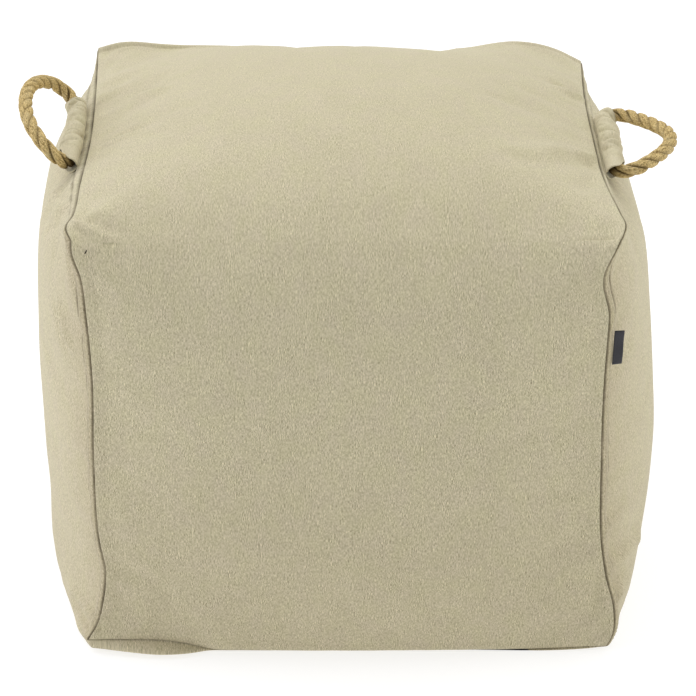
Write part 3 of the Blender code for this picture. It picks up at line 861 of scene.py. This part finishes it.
def inflate(cells):
    """The coarse cover blown up a little as cloth with its seams and base held, as a shift for each point."""
    cube, faces, _, _ = cube_lattice(cells)
    start = np.stack(cover(*cube.T), axis=1)
    mesh = bpy.data.meshes.new("cloth_cage")
    mesh.from_pydata(start.tolist(), [], faces.tolist())
    obj = link("cloth_cage", mesh)
    held = obj.vertex_groups.new(name="held")
    outer = np.abs(cube) > 1 - TINY
    pinned = (outer[:, 0] & (outer[:, 1] | outer[:, 2])) | (cube[:, 2] < -1 + TINY)
    pinned |= outer[:, 1] & (cube[:, 1] > 0) & outer[:, 2]
    held.add([int(k) for k in np.flatnonzero(pinned)], 1.0, "REPLACE")
    cloth = obj.modifiers.new("cloth", "CLOTH")
    settings = cloth.settings
    settings.quality = 6
    settings.mass = 0.3
    settings.tension_stiffness = settings.compression_stiffness = 12
    settings.shear_stiffness = 5
    settings.bending_stiffness = 0.8
    settings.use_pressure = True
    settings.uniform_pressure_force = 3.0
    settings.shrink_min = settings.shrink_max = -0.03
    settings.vertex_group_mass = "held"
    settings.effector_weights.gravity = 0.0
    cloth.collision_settings.use_collision = False
    cloth.point_cache.frame_start, cloth.point_cache.frame_end = 1, CLOTH_FRAMES
    scene = bpy.context.scene
    for number in range(1, CLOTH_FRAMES + 1):
        scene.frame_set(number)
    depsgraph = bpy.context.evaluated_depsgraph_get()
    moved = np.array([v.co for v in obj.evaluated_get(depsgraph).data.vertices])
    scene.frame_set(1)
    bpy.data.objects.remove(obj, do_unlink=True)
    shift = moved - start
    return shift - smoothed(shift, faces, SHIFT_SMOOTHING)


def smoothed(values, faces, rounds):
    """Values at the points of a mesh, each time replaced by the mean of their neighbours'."""
    count = np.zeros(len(values))
    for k in range(4):
        np.add.at(count, faces[:, k], 2.0)
    for _ in range(rounds):
        total = np.zeros_like(values)
        for k in range(4):
            np.add.at(total, faces[:, k], values[faces[:, (k + 1) % 4]] + values[faces[:, (k + 3) % 4]])
        values = total / count[:, None]
    return values


def finer(grid):
    """A grid of values with a point put between each two, on a smooth curve through them."""
    for axis in range(2):
        grid = np.moveaxis(grid, axis, 0)
        middle = (grid[1:] + grid[:-1]) / 2
        middle[1:-1] = (9 * (grid[1:-2] + grid[2:-1]) - grid[:-3] - grid[3:]) / 16
        fine = np.empty((2 * len(grid) - 1, *grid.shape[1:]))
        fine[::2], fine[1::2] = grid, middle
        grid = np.moveaxis(fine, 0, axis)
    return grid


def round_off(points, out, grids, clear):
    """Rounds the strip's turn from the front onto the top, moving its points only off or into the cloth."""
    rows = np.concatenate([grids[FRONT][:, -TURN_ROWS:], grids[TOP][:, 1:TURN_ROWS]], axis=1)
    run = run_along(points[rows[len(rows) // 2]])
    weight = np.exp(-((run[:, None] - run[None, :]) / TURN_RADIUS) ** 2) * np.gradient(run)[None, :]
    weight /= weight.sum(axis=1)[:, None]
    soft = np.einsum("jk,ikc->ijc", weight, points[rows])
    share = np.sin(np.linspace(0, math.pi, rows.shape[1])) ** 2 * np.clip(clear[rows] / FOLD_FADE, 0, 1)
    off = np.sum((soft - points[rows]) * out[rows], axis=2)
    points[rows] += (share * off)[..., None] * out[rows]


def sew(points, plain, cube, on_panel, away):
    """Shapes the seams in the cover's points, and returns the painted shade along the seams at each point."""
    low, high, off = edge_distances(cube)
    upright, top = off[:, 1], high[:, 2]
    share = upright ** 2 / (upright ** 2 + top ** 2 + 1e-9)
    lift = share * read(TOP_RELIEF, top) + (1 - share) * read(UPRIGHT_RELIEF, upright)
    outer = OUTER_LINE_LOW + (1 - OUTER_LINE_LOW) * eased(plain[:, 2], *OUTER_LINE_FADE)
    # The outer line is painted shadow where the panel comes out from behind the felled seam's ridge.
    line = read(UPRIGHT_DARKNESS, upright) * np.where(upright > OUTER_LINE_FROM, outer, 1.0)
    dark = share * read(TOP_DARKNESS, top) + (1 - share) * line
    seam = np.where(on_panel[LEFT] | on_panel[RIGHT], dark, 0.0)
    for panel, sign in ((LEFT, -1), (RIGHT, 1)):
        points[:, 0] += np.where(on_panel[panel], sign * lift, 0.0)
    for panel, axis, sign in ((FRONT, 1, -1), (BACK, 1, 1), (TOP, 2, 1)):
        points[:, axis] += np.where(on_panel[panel], sign * read(PLAIN_RELIEF, away[panel]), 0.0)
        dark = read(PLAIN_DARKNESS, away[panel])
        if panel == FRONT:
            lost = np.clip((cube[:, 0] - LOST_SEAM[0]) / (LOST_SEAM[1] - LOST_SEAM[0]), 0, 1)
            dark = np.where(low[:, 2] < off[:, 0], BASE_SEAM_SHARE * dark * (1 - lost), dark)
        seam = np.maximum(seam, np.where(on_panel[panel], dark, 0.0))
    rear = read(REAR_SHARE, cube[:, 0]) * read(REAR_RELIEF, high[:, 1])
    points[:, 2] += np.where(on_panel[TOP], rear, 0.0)
    # The seams' painted shade grows paler and darker in patches along them.
    patchiness = np.array([rough(p, SHADE_PATCH_SIZE, 41.0) for p in plain])
    return seam * np.clip(SHADE_PATCH_MIDDLE + SHADE_PATCH_SWING * patchiness, SHADE_PATCH_LEAST, 1.0)


def make_cover(material):
    """The filled cover over a fine grid: its plain shape, the blown-up cloth, folds, and the felled seams."""
    cube, faces, panels, grids = cube_lattice(2 * CELLS)
    plain = np.stack(cover(*cube.T), axis=1)
    on_panel = {panel: np.isin(np.arange(len(plain)), grid) for panel, grid in grids.items()}
    on_panel[STRIP] = on_panel[FRONT] | on_panel[TOP]
    places = panel_places(plain, on_panel[TOP])
    away = seam_distances(cube)
    clear = np.minimum.reduce([np.where(on_panel[panel], off, 1.0) for panel, off in away.items()])
    points = plain.copy()
    shift = inflate(CELLS)
    shift *= SHIFT_CAP / (SHIFT_CAP + np.linalg.norm(shift, axis=1)[:, None])
    coarse = cube_lattice(CELLS)[3]
    for panel, grid in grids.items():
        calm = eased(clear[grid], 0.0, SEAM_CALM)[..., None]
        points[grid] = plain[grid] + calm * finer(shift[coarse[panel]])
    out = normals_of(points, faces)
    round_off(points, out, grids, clear)
    relief = cloth_relief(plain, cube, on_panel, places) * np.clip(clear / FOLD_FADE, 0, 1)
    relief *= (cube[:, 2] > -1 + TINY) * np.clip(plain[:, 2] / FLOOR_FADE, 0, 1)
    points += relief[:, None] * out
    seam = sew(points, plain, cube, on_panel, away)
    points[:, 2] = np.maximum(points[:, 2], 0.0)

    obj = add_object("pouf_cloth_cover", points, faces, material)
    grain = np.where(on_panel[STRIP], read(GRAIN, places[STRIP][1]), OTHER_GRAIN)
    # Painted shade: darker near the floor and beside the side panels' upright seams.
    low = LOW_SHADE * (1 - eased(plain[:, 2], 0.0, LOW_REACH))
    upright = np.where(on_panel[LEFT] | on_panel[RIGHT], (1 - np.abs(cube[:, 1])) * HALF_SIZES[1], np.inf)
    # The seam value is painted shade in the seams' grooves and beside their ridges.
    set_point_values(obj.data, seam=seam, grain=grain, dulled=np.maximum(low, np.exp(-upright / BESIDE_REACH)))
    which, face_panel = corner_points(obj.data), np.repeat(panels, 4)
    corners = np.empty((len(which), 2))
    for panel in grids:
        at = face_panel == panel
        shift = 0.0 if panel in (FRONT, TOP) else PANEL_SHIFT * panel
        corners[at] = np.stack(places[panel], axis=1)[which[at]] + shift
    set_uv(obj.data, "cloth", corners)
    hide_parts("pouf_cover")
    return obj


# ---- sleeves ----

SLEEVE_ROWS, SLEEVE_STRIP_POINTS, WRAP_POINTS = 190, 60, 40
# The angles of the strip's first and last points where it closes to a tube.
RING_START, RING_END = (-170.0, -143.0, -117.0), 182.0
# Between which angles it touches the rope.
WRAPPED_FROM, WRAPPED_TO = -90, 120
# How thick the sleeve's cloth shows, as a share of the solid's.
SLEEVE_THICKNESS = 0.85
# How far each mouth lies from the sleeve's middle, round the strip: 0 is the seam under the rope, 1 over it.
TO_FRONT, TO_BACK = -1, 1
MOUTHS = {
    ("left", TO_FRONT): table("round reach:mm", [
        (0, 73.5), (0.07, 74.5), (0.14, 74), (0.2, 71.5), (0.28, 65.5), (0.36, 54), (0.45, 42.5), (0.54, 45.5),
        (0.61, 61), (0.68, 72), (0.75, 80), (0.84, 81.5), (0.92, 78.5), (1, 74),
    ]),
    ("left", TO_BACK): table("round reach:mm", [
        (0, 62), (0.14, 67), (0.3, 67.5), (0.6, 66.5), (0.75, 65), (1, 62),
    ]),
    ("right", TO_FRONT): table("round reach:mm", [
        (0, 73), (0.07, 73.5), (0.14, 70.5), (0.2, 66), (0.27, 60), (0.36, 52), (0.46, 46), (0.54, 50),
        (0.61, 59), (0.68, 71), (0.75, 77), (0.84, 77.5), (0.92, 75), (1, 72),
    ]),
    ("right", TO_BACK): table("round reach:mm", [
        (0, 62), (0.14, 68), (0.3, 69), (0.6, 69), (0.75, 67), (1, 62),
    ]),
}
# How far the cloth over the rope stands off it along each sleeve. Below it: at what angle round the rope that is
# most, and how widely it spreads.
FLARES = {
    "left": table("along:mm lift:mm", [
        (-80, 2.2), (-66, 2), (-50, 1), (-38, 1), (-20, 0.8), (0, 0), (15, -0.6), (40, -0.4), (50, -0.6),
        (58, 0.6), (80, 0.4),
    ]),
    "right": table("along:mm lift:mm", [
        (-80, 2.2), (-66, 2.2), (-50, 1), (-40, 1), (-20, 2), (10, 1.8), (38, 1.2), (48, -0.6), (56, -0.4),
        (80, 0),
    ]),
}
FLARE_BEARING, FLARE_SPREAD = 40.0, 60.0
# How the front mouth opens out under the rope: from where, over what length, by how much, and up to what angle.
OPENING_START, OPENING_SPAN, OPENING_SHARE, OPENING_TOP = 0.040, 0.024, 0.40, 25
# Slack in the cloth between the rope and the seam over it: where round the strip, how wide, how high, and from
# where and over what length it ends.
SLACK_PLACE, SLACK_SPAN, SLACK_RISE, SLACK_END = 0.80, 0.14, 0.0020, (0.030, 0.018)
# The back end is a tube that bends with the rope: from where and over what length, round the rope and for the rest.
BENDING, CLOSING = (0.040, 0.010), (0.055, 0.011)


def sleeve_profile(handle):
    """The folded strip's middle line, out from the seam under the rope, round it and back over it."""
    wrap = ROPE_RADIUS + SLACK + CLOTH / 2
    low = 2 * GAP + CLOTH / 2
    high = low + CLOTH + GAP
    centre = np.array([handle["out"], low + wrap])
    tail = np.array([SLEEVE_TAIL, high])
    distance = np.linalg.norm(tail - centre)
    bearing = math.atan2(*(tail - centre)[::-1])
    leave = (bearing - math.acos(wrap / distance)) % (2 * math.pi)
    under = [(SLEEVE_TAIL + k / 3 * (handle["out"] - SLEEVE_TAIL), low) for k in range(3)]
    turns = np.linspace(-math.pi / 2, leave, WRAP_POINTS)
    around = [centre + wrap * np.array([math.cos(t), math.sin(t)]) for t in turns]
    over = [around[-1] + k / 3 * (tail - around[-1]) for k in (1, 2, 3)]
    line = np.array([*under, *around, *over])
    run = run_along(line)
    ring = np.concatenate([np.radians(RING_START), turns,
                           leave + np.array([1, 2, 3]) / 3 * (math.radians(RING_END) - leave)])
    even = np.linspace(0, run[-1], SLEEVE_STRIP_POINTS)
    return points_at(even, run, line), even, centre, np.interp(even, run, ring), wrap


def opened(profile, centre, wrap, share):
    """The strip with its part under the rope opened out from its lowest point, by a share for each place."""
    bottom = centre - np.array([0.0, wrap])
    angle = np.arctan2(profile[:, 1] - centre[1], profile[:, 0] - centre[0])
    lower = (profile[:, 0] > centre[0]) & (angle < math.radians(OPENING_TOP))
    turn = (angle + math.pi / 2) * (1 - share)
    radius = wrap / (1 - share)
    curve = bottom + np.stack([radius * np.sin(turn), radius * (1 - np.cos(turn))], axis=1)
    return np.where(lower[:, None], curve, profile)


# Puckers in each sleeve: place along it, place round the strip (0 under, 1 at the seam over the rope), reach along
# and round, slant, and height. Lengths are in millimetres.
SLEEVE_FOLDS = {
    "left": [
        (51, 0.6, 3.5, 0.16, 50, -3), (58, 0.68, 4, 0.2, 30, 1.4),
        (36, 0.9, 5.5, 0.11, 0, -3.6), (24, 0.76, 4.5, 0.2, 30, 1.4),
        (8, 0.86, 3.5, 0.16, -20, -2.2), (-6, 0.78, 5, 0.2, 20, 1.4),
        (-20, 0.86, 3.5, 0.14, 30, -2), (-36, 0.84, 4.5, 0.16, -20, 1.4),
        (-12, 0.45, 6, 0.2, 20, -1), (-34, 0.5, 6, 0.2, 10, 0.8),
    ],
    "right": [
        (56, 0.66, 3.5, 0.22, 10, -2.6), (34, 0.72, 3.5, 0.18, 40, -2.2),
        (26, 0.68, 4, 0.2, 40, 1.4), (10, 0.8, 4, 0.2, 20, -1.8),
        (-4, 0.72, 3.5, 0.22, -10, 1.8), (-14, 0.72, 3, 0.22, -10, -2.2),
        (-24, 0.74, 3.5, 0.2, -20, 1.8), (-34, 0.84, 3.5, 0.16, 20, -1.8),
        (-48, 0.7, 4.5, 0.2, 10, 1),
        (46, 0.85, 4.5, 0.15, -20, 1), (-30, 0.4, 7, 0.2, 10, -0.8),
    ],
}
SLEEVE_FOLD_GAIN = 1.6
# Fine creases across each sleeve: how far apart, how fast they change round it, how high the cloth stands between
# them, how steep they are, and from where and over what length they fade towards the front mouth.
CREASE_PITCH, CREASE_ROUND, CREASE_RISE, CREASE_STEEPNESS, CREASE_FADE = 0.0085, 2.6, 0.0012, 5.0, (0.044, 0.014)
CREASE_SEED = 7.3
# How much closer to the rope all of it lies, and how close at most.
DRAWN_IN, DRAWN_MOST = 0.0002, 0.0007


def bent_frames(handle, route):
    """The rope's middle from the sleeve's middle to both ends, with directions out and up carried along it."""
    middle, length = rope_route(handle, route)
    _, out, up = sleeve_frame(handle, 0.0)
    found = {}
    for end, line in ((TO_FRONT, middle), (TO_BACK, middle[::-1])):
        across, above, _ = frames_along(line, out)
        found[end] = (length + abs(route["along"][0]), line, across, above * np.sign(above[0] @ up))
    return found


def sleeve_swell(side_name, handle, along, share, lift, flared):
    """How far the cloth stands off its plain fold at places along the sleeve and round its strip."""
    flare = FLARES[side_name]
    swell = flared * curve_through(flare["along"], flare["lift"], along)
    for at, around, reach, span, slant, height in SLEEVE_FOLDS[side_name]:
        off = (along - at * MM - slant * MM * (share - around)) / (reach * MM)
        fold = np.exp(-off ** 2 - ((share - around) / span) ** 2)
        swell = swell + SLEEVE_FOLD_GAIN * lift * height * MM * fold
    slack = SLACK_RISE * (1 - eased(along, *SLACK_END))
    swell = swell + slack * np.exp(-((share - SLACK_PLACE) / SLACK_SPAN) ** 2)
    creases = np.array([rough((a / CREASE_PITCH, CREASE_ROUND * s, 0.0), 1.0, handle["side"] * CREASE_SEED)
                        for a, s in zip(along, share)])
    calm = 1 - eased(-along, *CREASE_FADE)
    swell = swell + CREASE_RISE * calm * lift * np.minimum(np.abs(creases) * CREASE_STEEPNESS, 1.0)
    return np.maximum(swell - DRAWN_IN * lift, -DRAWN_MOST * lift)


def make_sleeve(name, side_name, handle, material):
    """A strip folded over the rope and gathered into the seam. Its front mouth is open, its back end a tube."""
    profile, run, centre, ring, wrap = sleeve_profile(handle)
    share = run / run[-1]
    at, line, across, above = bent_frames(handle, ROUTES[side_name])[TO_BACK]
    reach = {end: curve_through(*MOUTHS[side_name, end].values(), share) for end in (TO_FRONT, TO_BACK)}
    lift = np.clip((profile[:, 1] - profile[0, 1]) / ROPE_RADIUS, 0, 1)
    outward = unit(profile - centre)
    bearing = np.degrees(np.arctan2(outward[:, 1], outward[:, 0]))
    flared = np.exp(-((bearing - FLARE_BEARING) / FLARE_SPREAD) ** 2)
    wrapped = share > share[np.argmax(profile[:, 0] > centre[0] + TINY)]
    wrapped &= (bearing > WRAPPED_FROM) & (bearing < WRAPPED_TO)
    rows, spots = [], []
    for station in np.linspace(-1, 1, SLEEVE_ROWS):
        end = TO_FRONT if station < 0 else TO_BACK
        along = station * reach[end]
        swell = sleeve_swell(side_name, handle, along, share, lift, flared)
        section = profile
        if end == TO_FRONT:
            section = opened(profile, centre, wrap, OPENING_SHARE * eased(-along, OPENING_START, OPENING_SPAN))
        place = section + outward * swell[:, None]
        root, out, up = sleeve_frame(handle, along)
        row = root + place[:, :1] * out + place[:, 1:] * up
        if end == TO_BACK:
            middle, side, over = (points_at(along, at, part) for part in (line, across, above))
            around = wrap + swell
            tube = middle + (around * np.cos(ring))[:, None] * side + (around * np.sin(ring))[:, None] * over
            bend = np.where(wrapped, eased(along, *BENDING), eased(along, *CLOSING))[:, None]
            row = row * (1 - bend) + tube * bend
        rows.append(row)
        spots.append(np.stack([run, along], axis=1))
    faces = strip_faces(SLEEVE_ROWS, len(profile))
    if handle["side"] > 0:
        faces = faces[:, ::-1]
    obj = add_object(f"{name}_cloth", np.concatenate(rows), faces, material)
    set_uv(obj.data, "cloth", np.concatenate(spots)[corner_points(obj.data)])
    set_point_values(obj.data, seam=0.0, grain=1.0, dulled=0.0)
    thicken(obj, CLOTH * SLEEVE_THICKNESS)
    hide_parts(name)
    return obj


# ---- stitches, label and thread end ----

# Stitches lie on a row of the grid: which one, how long, how far apart and how thick they are, how far their middle
# stands off the cloth, and how far their ends sink below that.
STITCH_ROW, STITCH_LENGTH, STITCH_PITCH, STITCH_RADIUS = 5, 0.0028, 0.0036, 0.00024
STITCH_RISE, STITCH_SINK = 0.00012, 0.00030
STITCH_FORM = table("along girth", [(-1, 0.35), (-0.72, 0.9), (0, 1), (0.72, 0.9), (1, 0.35)])
THREAD_CORNERS = 6


def stitch_lines(cover_obj):
    """Lines of points along the felled seams where they are top-stitched, with the directions off the cloth."""
    _, faces, _, grids = cube_lattice(2 * CELLS)
    points = np.array([v.co for v in cover_obj.data.vertices])
    normals = normals_of(points, faces)
    first, last = STITCH_ROW, 2 * CELLS - STITCH_ROW
    inside = slice(first, last + 1)
    lines = []
    for grid in (grids[LEFT], grids[RIGHT]):
        lines += [grid[first, inside], grid[inside, last], grid[last, inside][::-1]]
    lines.append(grids[BACK][inside, last])
    return [(points[line], normals[line]) for line in lines]


def make_stitches(cover_obj, material):
    """Rows of short stitches, each a small rounded tube that sinks into the cloth at both ends."""
    t, girth = STITCH_FORM.values()
    radius, turn = STITCH_RADIUS * girth[:, None], full_turn(THREAD_CORNERS)[None, :]
    points, faces = [], []
    for line, out in stitch_lines(cover_obj):
        run = run_along(line)
        for at in np.arange(STITCH_PITCH, run[-1] - STITCH_PITCH, STITCH_PITCH):
            middle = points_at(at + t * STITCH_LENGTH / 2, run, line)
            normal = unit(points_at(at, run, out))
            side = np.cross(unit(middle[-1] - middle[0]), normal)
            middle = middle + np.outer(STITCH_RISE - STITCH_SINK * np.abs(t) ** 3, normal)
            normals, sides = np.tile(normal, (len(t), 1)), np.tile(side, (len(t), 1))
            faces.extend(tube_faces(len(t), THREAD_CORNERS, len(points)))
            points.extend(rings_round(middle, normals, sides, radius, turn).reshape(-1, 3).tolist())
    return add_object("seam_stitches", points, faces, material)


LABEL_ROWS = 24
# Where in depth the label leaves the seam, from -1 at the front to 1, and how far out and forward of there it is.
LABEL_PLACE, LABEL_OUT, LABEL_FORWARD = -0.978, 0.0026, 0.0003
LABEL_TAPE, LABEL_FOLD, LABEL_FLAT_POINTS, LABEL_FOLD_POINTS = 0.00045, 0.00050, 8, 9
# How far the tape sways and bows from top to bottom and slants up at its fold, and how often it does so.
LABEL_SWAY, LABEL_BOW, LABEL_SLANT = 0.0006, 0.0003, 0.0007
SWAY_WAVES, BOW_WAVES = 2.6 * math.pi, 9


def make_label(material):
    """A blank tape folded in two, both ends sewn into the right front seam."""
    bend = np.linspace(-math.pi / 2, math.pi / 2, LABEL_FOLD_POINTS)[1:-1]
    flat, ones = LABEL_WIDTH - LABEL_FOLD, np.ones(LABEL_FLAT_POINTS)
    there = np.linspace(0, flat, LABEL_FLAT_POINTS)
    out = np.concatenate([there, flat + LABEL_FOLD * np.cos(bend), there[::-1]])
    aside = np.concatenate([-ones, np.sin(bend), ones]) * LABEL_FOLD
    run = run_along(np.stack([out, aside], axis=1))
    far = out / LABEL_WIDTH
    points, spots = [], []
    for share in np.linspace(-0.5, 0.5, LABEL_ROWS):
        height = LABEL_HEIGHT + share * LABEL_LENGTH
        c = 2 * height / TOP_SEAM_HEIGHT - 1
        x, y, _ = (float(v[0]) for v in cover(np.array([1.0]), np.array([LABEL_PLACE]), np.array([c])))
        bow = LABEL_SWAY * math.sin(SWAY_WAVES * share) * far ** 2 + LABEL_BOW * math.sin(BOW_WAVES * share) * far
        spot = (x + LABEL_OUT + out, y + aside + bow - LABEL_FORWARD, height + LABEL_SLANT * far)
        points.append(np.stack(spot, axis=1))
        spots.append(np.stack([run, np.full(len(run), share * LABEL_LENGTH)], axis=1))
    faces = strip_faces(LABEL_ROWS, len(out))
    obj = add_object("label_tape_blank", np.concatenate(points), faces, material)
    set_uv(obj.data, "cloth", np.concatenate(spots)[corner_points(obj.data)])
    thicken(obj, LABEL_TAPE)
    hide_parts("blank_label")
    return obj


# The loose end of thread: near which place it lies, half its run, how far it bows, and how thick it is.
THREAD_END = (-0.2118, -0.2112, 0.3714)
THREAD_RUN, THREAD_BOW = np.array([0.0015, 0.0, 0.0023]), np.array([0.0005, -0.0003, 0.0])
THREAD_RADIUS, THREAD_TAPER, THREAD_RINGS = 0.00052, 0.55, 7


def make_thread_end(cover_obj, material):
    """A short dark end of thread that lies on the cloth."""
    points = np.array([v.co for v in cover_obj.data.vertices])
    near_end = points[np.argmin(np.linalg.norm(points - THREAD_END, axis=1))]
    t = np.linspace(-1, 1, THREAD_RINGS)[:, None]
    line = near_end + t * THREAD_RUN + (1 - t * t) * THREAD_BOW
    normal, binormal, _ = frames_along(line)
    radius = THREAD_RADIUS * (1 - THREAD_TAPER * t ** 2)
    rings = rings_round(line, normal, binormal, radius, full_turn(THREAD_CORNERS)[None, :])
    faces = tube_faces(THREAD_RINGS, THREAD_CORNERS)
    return add_object("thread_end", rings.reshape(-1, 3), faces, material)


# ---- stage ----

FLOOR_SIZE, FLOOR_DROP = 40.0, 0.0004
FLOOR_COLOUR, FLOOR_GLOW = (0.40, 0.40, 0.40), 0.71
WORLD_STRENGTH = 0.40
# Each light's name, strength, angle across in degrees, heading and colour.
SUNS = [
    ("key", 1.38, 80, (0.04, -0.42, -1.0), (1.0, 1.0, 1.0)),
    ("left_fill", 1.38, 60, (1.0, -0.05, -0.55), (1.0, 1.0, 1.08)),
    ("right_fill", 0.95, 60, (-1.0, -0.05, -0.55), (1.0, 0.99, 0.95)),
]


def add_sun(name, strength, angle, heading, colour):
    """A soft distant light that shines along a heading."""
    data = bpy.data.lights.new(name, "SUN")
    data.energy = strength
    data.angle = math.radians(angle)
    data.color = colour
    aim(link(name, data), heading)


def make_stage():
    mesh = bpy.data.meshes.new("floor")
    edge = FLOOR_SIZE / 2
    mesh.from_pydata([(-edge, -edge, 0), (edge, -edge, 0), (edge, edge, 0), (-edge, edge, 0)], [], [(0, 1, 2, 3)])
    paint = bpy.data.materials.new("floor_paint")
    paint.use_nodes = True
    shader = paint.node_tree.nodes["Principled BSDF"]
    for socket, value in (("Base Color", (*FLOOR_COLOUR, 1.0)), ("Roughness", 0.9), ("Specular IOR Level", 0.1),
                          ("Emission Color", (1.0, 1.0, 1.0, 1.0)), ("Emission Strength", FLOOR_GLOW)):
        shader.inputs[socket].default_value = value
    mesh.materials.append(paint)
    floor = link("floor", mesh)
    floor.location.z = -FLOOR_DROP
    world = bpy.data.worlds.new("studio")
    world.use_nodes = True
    world.node_tree.nodes["Background"].inputs[0].default_value = (1.0, 1.0, 1.0, 1.0)
    world.node_tree.nodes["Background"].inputs[1].default_value = WORLD_STRENGTH
    bpy.context.scene.world = world
    for sun in SUNS:
        add_sun(*sun)


# ---- making it ----

make_camera()
rope_fibre = rope_material()
loose_fibres = fibre_material("loose_fibres", 300.0, (0.48, 0.34, 0.17), (0.75, 0.60, 0.38), 0.02 * MM,
                              roughness=0.7)
for number, (side_name, handle) in enumerate(HANDLES.items()):
    make_rope(f"rope_{side_name}", handle, ROUTES[side_name], rope_fibre, loose_fibres, 11 + number)
cover_cloth = cloth_material("cover_weave")
strip_cloth = cloth_material("strip_weave", 1.03, 0.3)
cover_obj = make_cover(cover_cloth)
for side_name, handle in HANDLES.items():
    make_sleeve(f"sleeve_{side_name}", side_name, handle, strip_cloth)
make_stitches(cover_obj, fibre_material("sewing_thread", 500.0, (0.40, 0.36, 0.25), (0.52, 0.47, 0.34), 0.03 * MM,
                                        roughness=0.6, sheen=0.1, specular=0.35))
make_thread_end(cover_obj, dark_thread_material())
make_label(label_material())
make_stage()
bpy.context.scene.view_settings.view_transform = "Standard"
